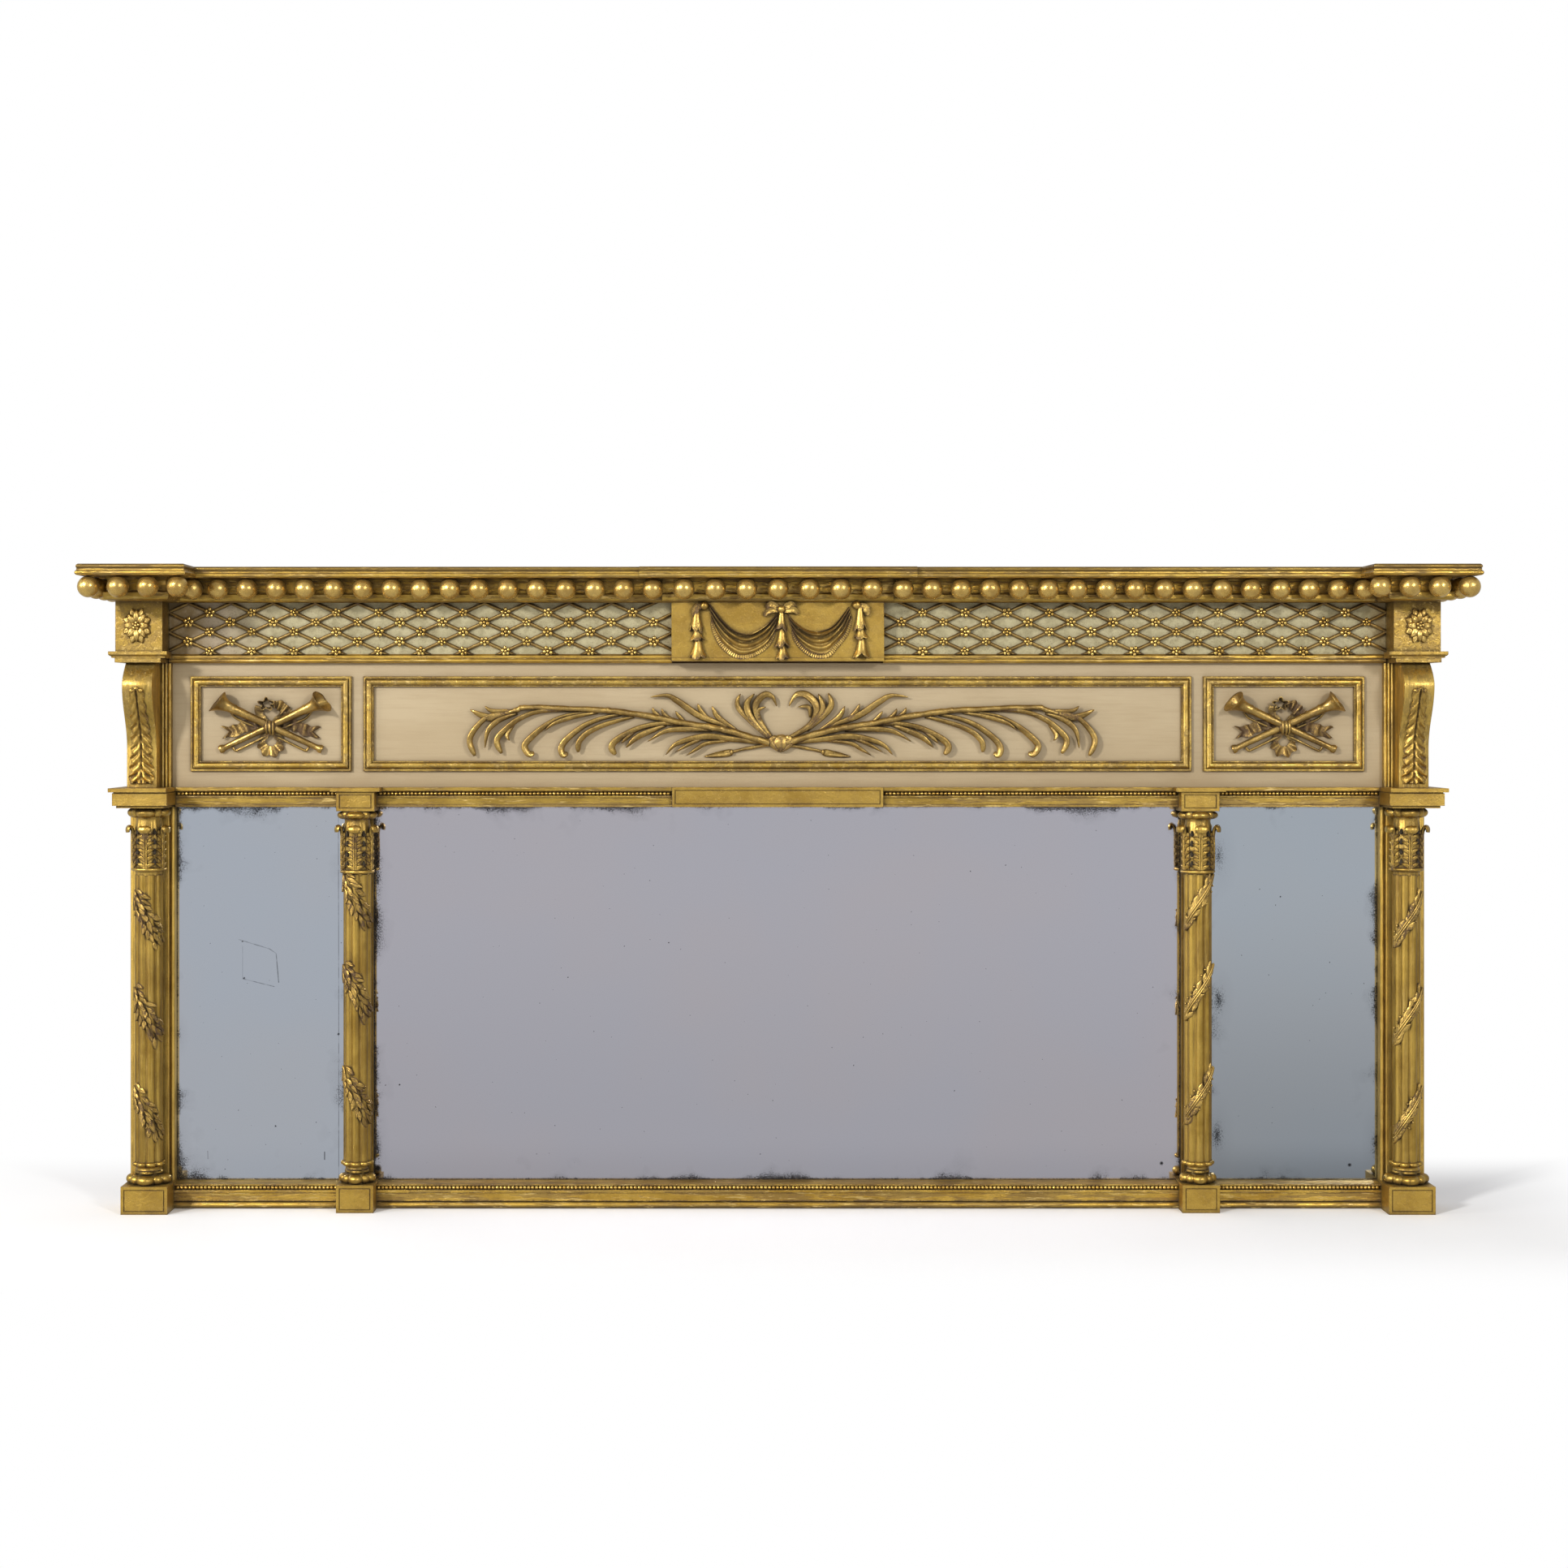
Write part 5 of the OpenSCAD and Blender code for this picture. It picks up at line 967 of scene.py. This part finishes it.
def console_strip(hand, x0, seat):
    """The strip at the console's inner side: three round reeds on a thin ground."""
    a, radius = round_angles(14), (CONSOLE_X0 - x0) / 6
    middles = [hand * (x0 + radius * (2 * k + 1)) for k in range(3)]
    bodies = [upright(middle + radius * 0.98 * np.cos(a), STRIP_D + radius * np.sin(a)) for middle in middles]
    x = hand * np.array([x0, CONSOLE_X0 + 1, CONSOLE_X0 + 1, x0])
    return bodies + [upright(x, np.array([seat, seat, STRIP_D, STRIP_D]))]


for hand_name, hand in (("left", -1), ("right", 1)):
    middle = hand * CONSOLE_MIDDLE
    low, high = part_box("console_" + hand_name)
    seat = (WALL_Y - high.y) / MM
    strip = console_strip(hand, min(abs(low.x), abs(high.x)) / MM, seat)
    carve("carved_console_" + hand_name, [console_block(hand, seat)] + strip, console_gilding,
          ("console_" + hand_name,), 40.0)
    curl = [knob(middle + k * 5.2, CONSOLE_FOOT_Z + 119.0 - abs(k) * 2.0, 87.2, (3.4, 2.6, 2.8), 12, 8)
            for k in (-1, 0, 1)]
    carve("acanthus_" + hand_name, [acanthus(middle)] + curl, carved_gilding, sharp=60.0)

# Centre tablet: a fringed cloth of carved wood, nailed to the gilt block at both ends and tied up by a bow in
# the middle, with strings of bell flowers hanging from the nails and from the bow.
TABLET_D = 55.0
TABLET_SEAT = TABLET_D - 0.4
UPPER_EDGES = ([(-83, 735), (-69.2, 716.7), (-53.6, 702.6), (-34.8, 698), (-16, 707.3), (-0.4, 723)],
               [(11.3, 723), (21.5, 712), (37.1, 702.6), (52.8, 701.9), (68.4, 708.9), (86, 731)])
LOWER_EDGES = ([(-80, 715), (-73.9, 698.5), (-64.5, 684.6), (-50.4, 674.4), (-38, 673.4), (-25.4, 677.9),
                (-12.9, 686.6), (-3.5, 701)],
               [(17.5, 703), (24.6, 689.2), (37.1, 677.9), (49.6, 673.6), (60.6, 675.8), (68.4, 684.6),
                (80.9, 699.4), (88.7, 719.3)])
# A bell's profile is the share of its drop and of its radius; it turns up inside at the lip.
BELL_PROFILE = [(0, 0.16), (0.12, 0.32), (0.3, 0.42), (0.5, 0.52), (0.7, 0.68), (0.86, 0.86), (0.97, 1.0),
                (1.0, 0.98), (0.97, 0.86), (0.86, 0.66), (0.66, 0.40), (0.5, 0.10)]
# Each string of bells is its place across, then the top, the foot and the radius of each bell.
BELL_STRINGS = [(-98.0, [(735, 701, 8.2), (706, 690, 9.0), (693, 668, 10.5)]),
                (99.5, [(735, 702, 8.2), (707, 692, 9.0), (695, 669, 10.5)]),
                (4.3, [(727, 702, 7.6), (706, 682, 9.4), (687, 667, 8.6)])]
NAILS = [(-88.7, 732.0), (95.3, 733.0)]
BOW = [[(5, 727), (11, 732), (17, 734), (22, 730)], [(5, 726), (13, 727), (20, 727), (25, 722)],
       [(3, 727), (-3, 732), (-9, 734), (-14, 730)], [(3, 726), (-5, 727), (-12, 725), (-17, 720)]]


def evenly(points, count):
    """The smooth line through the points, cut into count equal steps."""
    line = smooth_line(points, 14)
    run = np.r_[0, np.cumsum(np.hypot(*np.diff(line, axis=0).T))]
    at = np.linspace(0, run[-1], count)
    return np.stack([np.interp(at, run, line[:, k]) for k in (0, 1)], -1)


def cloth(upper, lower, phase):
    """Hanging cloth between two edges: folds are cosines across the depth of the cloth that run from end to
    end, deepest in the middle, over a belly that is a sine of the length."""
    u, v = face_grid(76, 26, 0)
    flat = evenly(upper, 76)[:, None] * (1 - v[..., None]) + evenly(lower, 76)[:, None] * v[..., None]
    belly = np.sin(math.pi * u) ** 0.6
    fold = np.cos(2 * math.pi * (3.4 * v**0.85 + phase + 0.12 * np.sin(2 * math.pi * u)))
    out = 2.6 + 3.2 * belly * np.sin(math.pi * np.clip(v * 0.8 + 0.12, 0, 1))
    out += (1.3 + 1.5 * belly) * fold * (1 - 0.45 * v)
    return relief(flat, TABLET_D + np.maximum(out, 0.7), TABLET_SEAT)


def fringe(lower):
    """A fringe hanging from the lower edge: combed by a sine along it, with a ragged foot."""
    edge = evenly(lower, 240)
    down = -follow(edge)[2]
    u, v = face_grid(240, 5, 0)
    comb = np.sin(2 * math.pi * 44 * u)
    drop = (6.2 + 0.6 * comb * v) * np.clip(np.sin(math.pi * u), 0, 1) ** 0.3
    out = 1.5 + 0.30 * comb * np.clip(v * 3, 0, 1) + 0.5 * np.exp(-(v / 0.16) ** 2)
    return relief(edge[:, None] + down[:, None] * (drop * v - 1.0)[..., None], TABLET_D + out, TABLET_SEAT)


def bell_flower(x, top, bottom, radius, seed):
    """A hanging bell: the lip flares as the square of the way down, is cut by five rounded petals and turned
    up into a hollow."""
    pick = np.random.default_rng(seed)
    t, r = (side[:, None] for side in np.array(BELL_PROFILE).T)
    a, share = round_angles(40), t**2
    petal = np.abs(np.sin(2.5 * a + pick.uniform(0, 3) + 0.5 * np.sin(a + pick.uniform(0, 6)))) ** 0.6
    reach = radius * r * (1 - 0.22 * share * (1 - petal) + 0.05 * np.sin(15 * a) * share)
    ragged = 0.07 * share * np.sin(2 * a + pick.uniform(0, 6))
    z = top + (bottom - top) * t * (1 - 0.20 * share * (1 - petal) + ragged)
    out = np.maximum(TABLET_D + radius * 0.42 + 0.72 * reach * np.cos(a), TABLET_SEAT)
    return tube(in_front(np.stack([x + reach * np.sin(a), z, out], -1)))


def loop(points, width):
    """A ribbon loop on the tablet: a flat band along a line, hollowed down its middle."""
    line = smooth_line(points, 8)
    across = follow(line)[2]
    t, b = face_grid(len(line), 7)
    half = width / 2 * (0.5 + 0.5 * np.sin(math.pi * t))
    out = TABLET_D + 2.4 + 3.4 * np.sin(math.pi * t) + 0.9 * np.abs(b)
    return relief(line[:, None] + across[:, None] * (half * b)[..., None], out, out - 1.4)


bodies = []
for upper, lower, phase in zip(UPPER_EDGES, LOWER_EDGES, (0.0, 0.35)):
    bodies += [cloth(upper, lower, phase), fringe(lower)]
for x, bells in BELL_STRINGS:
    bodies += [bell_flower(x + 0.8 * number, *bell, number + int(abs(x)))
               for number, bell in enumerate(bells)]
for x, z in NAILS:
    bodies.append(knob(x, z, TABLET_D + 3.6, (5.2, 4.2, 5.2), 18, 10))
    bodies.append(loop([(x, z), (x * 1.10, z - 2), (x * 1.13, z - 9), (x * 1.11, z - 12)], 8))
bodies += [loop(line, 7.0) for line in BOW]
bodies.append(knob(4.3, 728.0, TABLET_D + 4.4, (4.6, 4.2, 4.4), 16, 9))
carve("carved_swag", bodies, gilding(
    "swag_gilding", (0.66, 0.44, 0.115), (0.38, 0.235, 0.055), (1.0, 1.0, 0.5), 0.55, 1.0, 0.30),
      ("swag",), 60.0)

# Latticed band: boards under dulled silver leaf and green-grey paint with fine specks, turning lilac and
# then dark olive towards the left end. A gilt lattice of rounded reeds is pinned on, with a small beaded
# rosette at each crossing.
dulled_silver, silver_tree, silver_shader = material("dulled_silver")
place = on_object(silver_tree)
x = axes(place)[0]
speck, mottle = noise(place, 1100.0, 2.0, 0.8), noise(place, 95.0, 4.0, 0.65)
spotted = ramp(noise(place, 480.0, 4.0, 0.75), 0.555, 0.62, 0.0, 0.6)
olive = ramp(x, -0.680, -0.715).most(ramp(x, 0.705, 0.735, 0.0, 0.7))
# The last coat darkens the board where the reeds and mouldings shut it in: painted shade.
coat(silver_shader, {"Roughness": ramp(mottle, 0.2, 0.8, 0.45, 0.62), "Metallic": 0.08, "Base Color": layered(
    (0.370, 0.325, 0.182), (ramp(mottle, 0.35, 0.68), (0.262, 0.225, 0.115)),
    (ramp(x, -0.60, -0.69, 0.0, 0.85), (0.285, 0.222, 0.148)),
    (spotted * ramp(noise(place, 26.0, 2.0), 0.36, 0.60, 0.25, 1.0), (0.13, 0.082, 0.036)),
    (olive * ramp(mottle, 0.3, 0.6, 0.6, 1.0), (0.150, 0.098, 0.032)),
    (ramp(speck, 0.56, 0.76, 0.0, 0.7), (0.12, 0.095, 0.055)),
    (ramp(openness(silver_tree, 0.012, 6), 0.7, 0.3, 0.0, 0.6), (0.12, 0.085, 0.04)))},
     speck + mottle, 0.0003, 0.8)
finish_nodes(["lattice_board"], dulled_silver)
LATTICE_D, BAND_LOW, BAND_HIGH = 35.0, 674.3, 736.6
# The first crossing from the tablet, the step between crossings, the rows' step and the lowest row's height.
FIRST_X, PITCH, ROW, ROW_LOW = 176.3, 51.4, 11.7, 677.9
REED_SLOPE = math.atan(2 * ROW / PITCH)
FIELD = (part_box("centre_tablet")[1].x / MM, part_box("rosette_block_right")[0].x / MM + 7.0)


def lattice_reed(x, turn, hand, pick):
    """A half-round reed through a point of the lowest row, cut off along the edges of the field."""
    a = np.linspace(0, math.pi, 8)
    across = np.r_[2.25 * np.cos(a), -2.25]
    out = np.r_[-0.4, (0.6 + 3.4 * np.sin(a) ** 0.8)[1:], -0.4]
    c, s = math.cos(turn), abs(math.sin(turn))
    sign = 1 if turn > 0 else -1
    ends = []
    for z_edge, x_edge, nearer in ((BAND_LOW, FIELD[0 if sign > 0 else 1], np.maximum),
                                   (BAND_HIGH, FIELD[1 if sign > 0 else 0], np.minimum)):
        by_height = (z_edge - ROW_LOW - across * c) / s
        by_width = (x_edge - x + sign * across * s) / c * sign
        ends.append(nearer(by_height, by_width))
    if np.min(ends[1] - ends[0]) < 2:
        return None
    along = ends[0] + (ends[1] - ends[0]) * np.linspace(0, 1, 9)[:, None]
    wobble = pick.uniform(-0.18, 0.18, 9)[:, None]
    return tube(in_front(np.stack([
        hand * (x + sign * along * c - sign * across * s), ROW_LOW + along * s + across * c,
        LATTICE_D + out * (1 + 0.4 * wobble)], -1)))


pick = np.random.default_rng(7)
reeds, knots = [], []
for hand in (-1, 1):
    for k in range(-2, 14):
        reeds += [body for turn in (REED_SLOPE, -REED_SLOPE)
                  if (body := lattice_reed(FIRST_X + k * PITCH, turn, hand, pick))]
    for row in range(5):
        for k in range(12):
            x = FIRST_X + k * PITCH - (PITCH / 2 if row % 2 else 0)
            if x > FIELD[1] - 4:
                continue
            z, spin, size = ROW_LOW + row * ROW, pick.uniform(0, 1.2), pick.uniform(1.08, 1.36)
            reach, radii = 3.2 * size, (2.1 * size, 1.8, 2.1 * size)
            for a in spin + np.arange(5) * 2 * math.pi / 5:
                knots.append(knob(hand * x + reach * math.cos(a), z + reach * math.sin(a), LATTICE_D + 4.4,
                                  radii, 7, 4))
            knots.append(knob(hand * x, z, LATTICE_D + 5.6, (2.0, 1.7, 2.0), 7, 4))
carve("lattice_reeds", reeds, gilding(
    "lattice_gilding", (0.40, 0.275, 0.095), (0.24, 0.15, 0.05), (1, 1, 1), 0.45, 0.95, 0.36),
      ("lattice",), 80.0)
carve("lattice_rosettes", knots, gilding(
    "rosette_gilding", (0.86, 0.60, 0.18), (0.55, 0.35, 0.08), (1, 1, 1), 0.20, 0.9, 0.18), sharp=80.0)

# End blocks, each on a moulded sub-plate: gilt pine, and on each an oval rosette of two rows of eight petals
# round a cluster of small beads.
ROSETTE_X, ROSETTE_Z, ROSETTE_D = 770.3, 707.5, 72.0
finish_nodes(["rosette_block_left", "rosette_block_right"], gilding(
    "end_block_gilding", (0.47, 0.310, 0.072), (0.36, 0.228, 0.050), (0.6, 1.0, 0.8), 0.52, 0.9, 0.30,
    0.0004, 0.40, 0.45))
petal_gilding = gilding("petal_gilding", (0.80, 0.56, 0.17), (0.50, 0.32, 0.085), (1, 1, 1), 0.24, 0.5, 0.25)


def rosette_petal(middle, degrees, inner, outer, width, base, lift):
    """A petal that points outwards: a sine outline, arched across with a crease, and lifted along a curve."""
    t, b = face_grid(10, 9)
    half = width / 2 * np.sin(math.pi * np.clip(0.16 + 0.80 * t, 0, 1)) ** 0.7
    x, z = swing(inner + (outer - inner) * t, half * b, math.radians(degrees))
    out = base + lift * np.sin(math.pi * np.clip(t * 0.75 + 0.1, 0, 1)) + 1.5 * (1 - np.abs(b) ** 2.5)
    return relief(np.stack([middle + x * 0.77, ROSETTE_Z + z], -1), out - 0.5 * np.exp(-(b / 0.14) ** 2),
                  ROSETTE_D - 0.5)


for hand_name, middle in (("left", -ROSETTE_X), ("right", ROSETTE_X)):
    bodies = [rosette_petal(middle, 22.5 + 45 * k, 6, 22.0, 10.4, ROSETTE_D + 0.2, 2.2) for k in range(8)]
    bodies += [rosette_petal(middle, 45 * k, 3, 18.6, 9.0, ROSETTE_D + 1.6, 3.4) for k in range(8)]
    for a in np.radians(72 * np.arange(5) + 10):
        x, z = middle + 3.3 * math.cos(a), ROSETTE_Z + 3.6 * math.sin(a)
        bodies.append(knob(x, z, ROSETTE_D + 6.4, (1.9, 2.0, 2.0)))
    bodies.append(knob(middle, ROSETTE_Z, ROSETTE_D + 6.8, (2.0, 2.2, 2.1)))
    carve("rosette_" + hand_name, bodies, petal_gilding, sharp=55.0)

# Cornice: two reeds over a deep bed, run in lengths and mitred at the breaks. The bed and the soffit behind
# the balls are painted a little darker, and the upper reed browner.
cornice_gilding = gilding("cornice_gilding", (0.680, 0.448, 0.098), (0.460, 0.286, 0.055), (0.14, 1.0, 1.0),
                          0.56, 0.62, 0.28, patches=0.60, streaks=0.35, relief=0.0006)
cornice_shader, cornice_leaf = fed_by(cornice_gilding, "Base Color")
cornice_z = axes(on_object(cornice_gilding.node_tree))[2]
# Darker below the tops of the balls and browner on the upper reed, by height.
coat(cornice_shader, {"Base Color": layered(
    cornice_leaf, (ramp(cornice_z, 0.7650, 0.7630, 0.0, 0.10), (0.060, 0.040, 0.012)),
    (ramp(cornice_z, 0.7710, 0.7725, 0.0, 0.60), (0.13, 0.080, 0.028)))})
finish_nodes(["cornice_run", "cornice_end_left", "cornice_end_right"], cornice_gilding)

# Cornice balls: turned wood, water gilt, burnished and later sized, which leaves a satin bloom over the
# metal. Each is on a short dowel.
ball_gilding = gilding("ball_gilding", (0.70, 0.475, 0.135), (0.52, 0.325, 0.080), (1, 1, 1),
                       0.14, 0.15, 0.19, 0.0002, 0.22, 0.12)
ball_shader, ball_metal = fed_by(ball_gilding, "Metallic")
coat(ball_shader, {"Metallic": ball_metal * 0.86})
finish_nodes(["cornice_balls"], ball_gilding)

# Studio: a pale floor under the mirror, a soft key from the upper left, a side box and a weak fill.
# The camera stands a little left of the middle, three metres from the wall.
camera_data = bpy.data.cameras.new("camera")
camera_data.sensor_width, camera_data.lens, camera_data.clip_start = 36.0, 55.94, 0.05
camera_data.shift_x, camera_data.shift_y = 0.0342, -0.0419
camera = placed("camera", camera_data)
camera.location, camera.rotation_euler = (-0.0573, -2.930, 0.5962), (math.radians(90.0), 0.0, 0.0)
bpy.context.scene.camera = camera


def soft_box(name, place, aim, size, watts, tint):
    """A square area light at place, turned to aim."""
    data = bpy.data.lights.new(name, "AREA")
    data.shape, data.size, data.energy, data.color = "SQUARE", size, watts, tint
    box = placed(name, data)
    box.location = place
    way = np.subtract(aim, place)
    box.rotation_euler = (math.atan2(math.hypot(way[0], way[1]), -way[2]), 0.0, math.atan2(-way[0], way[1]))


soft_box("key", (-3.6, -4.4, 2.65), (0.0, 0.0, 0.45), 0.65, 268.0, (1.0, 0.985, 0.96))
soft_box("side_box", (-3.4, -1.2, 1.4), (0.0, 0.0, 0.5), 1.2, 30.0, (1.0, 1.0, 1.0))
soft_box("fill", (2.4, -4.2, 2.0), (0.1, 0.0, 0.45), 0.6, 82.0, (1.0, 1.0, 1.0))


def camera_ray(tree):
    """1 for what the camera sees itself, 0 for what lights or mirrors see."""
    return Shade(tree.nodes.new("ShaderNodeLightPath").outputs["Is Camera Ray"])


world = bpy.data.worlds.new("studio")
bpy.context.scene.world = world
world.use_nodes = True
coat(world.node_tree.nodes["Background"], {
    "Strength": 1.0, "Color": layered((0.52, 0.52, 0.53), (camera_ray(world.node_tree), (1.0, 1.0, 1.0)))})
bpy.context.scene.view_settings.view_transform = "Standard"

# The floor fades into the white backdrop away from the mirror.
floor_mesh = bpy.data.meshes.new("floor")
floor_mesh.from_pydata([(-6, -6, 0), (6, -6, 0), (6, 6, 0), (-6, 6, 0)], [], [(0, 1, 2, 3)])
floor = placed("floor", floor_mesh)
floor.visible_glossy = False
floor_paint, floor_tree, floor_shader = material("pale_floor")
place = on_object(floor_tree)
coat(floor_shader, {"Roughness": 0.9, "Base Color": layered((0.93,) * 3, (noise(place, 4.0), (0.96,) * 3))})
x, y, _ = axes(place)
away = (abs(x) - 0.80).most(0.0).most((abs(y) - 0.10).most(0.0))
faded = lay_node(floor_tree, "MixShader", {
    0: ramp(away, 0.03, 0.30) * camera_ray(floor_tree), 1: Shade(floor_shader.outputs["BSDF"]),
    2: Shade(floor_tree.nodes.new("ShaderNodeEmission").outputs["Emission"])})
feed(floor_tree.nodes["Material Output"].inputs["Surface"], Shade(faded.outputs["Shader"]))
floor_mesh.materials.append(floor_paint)
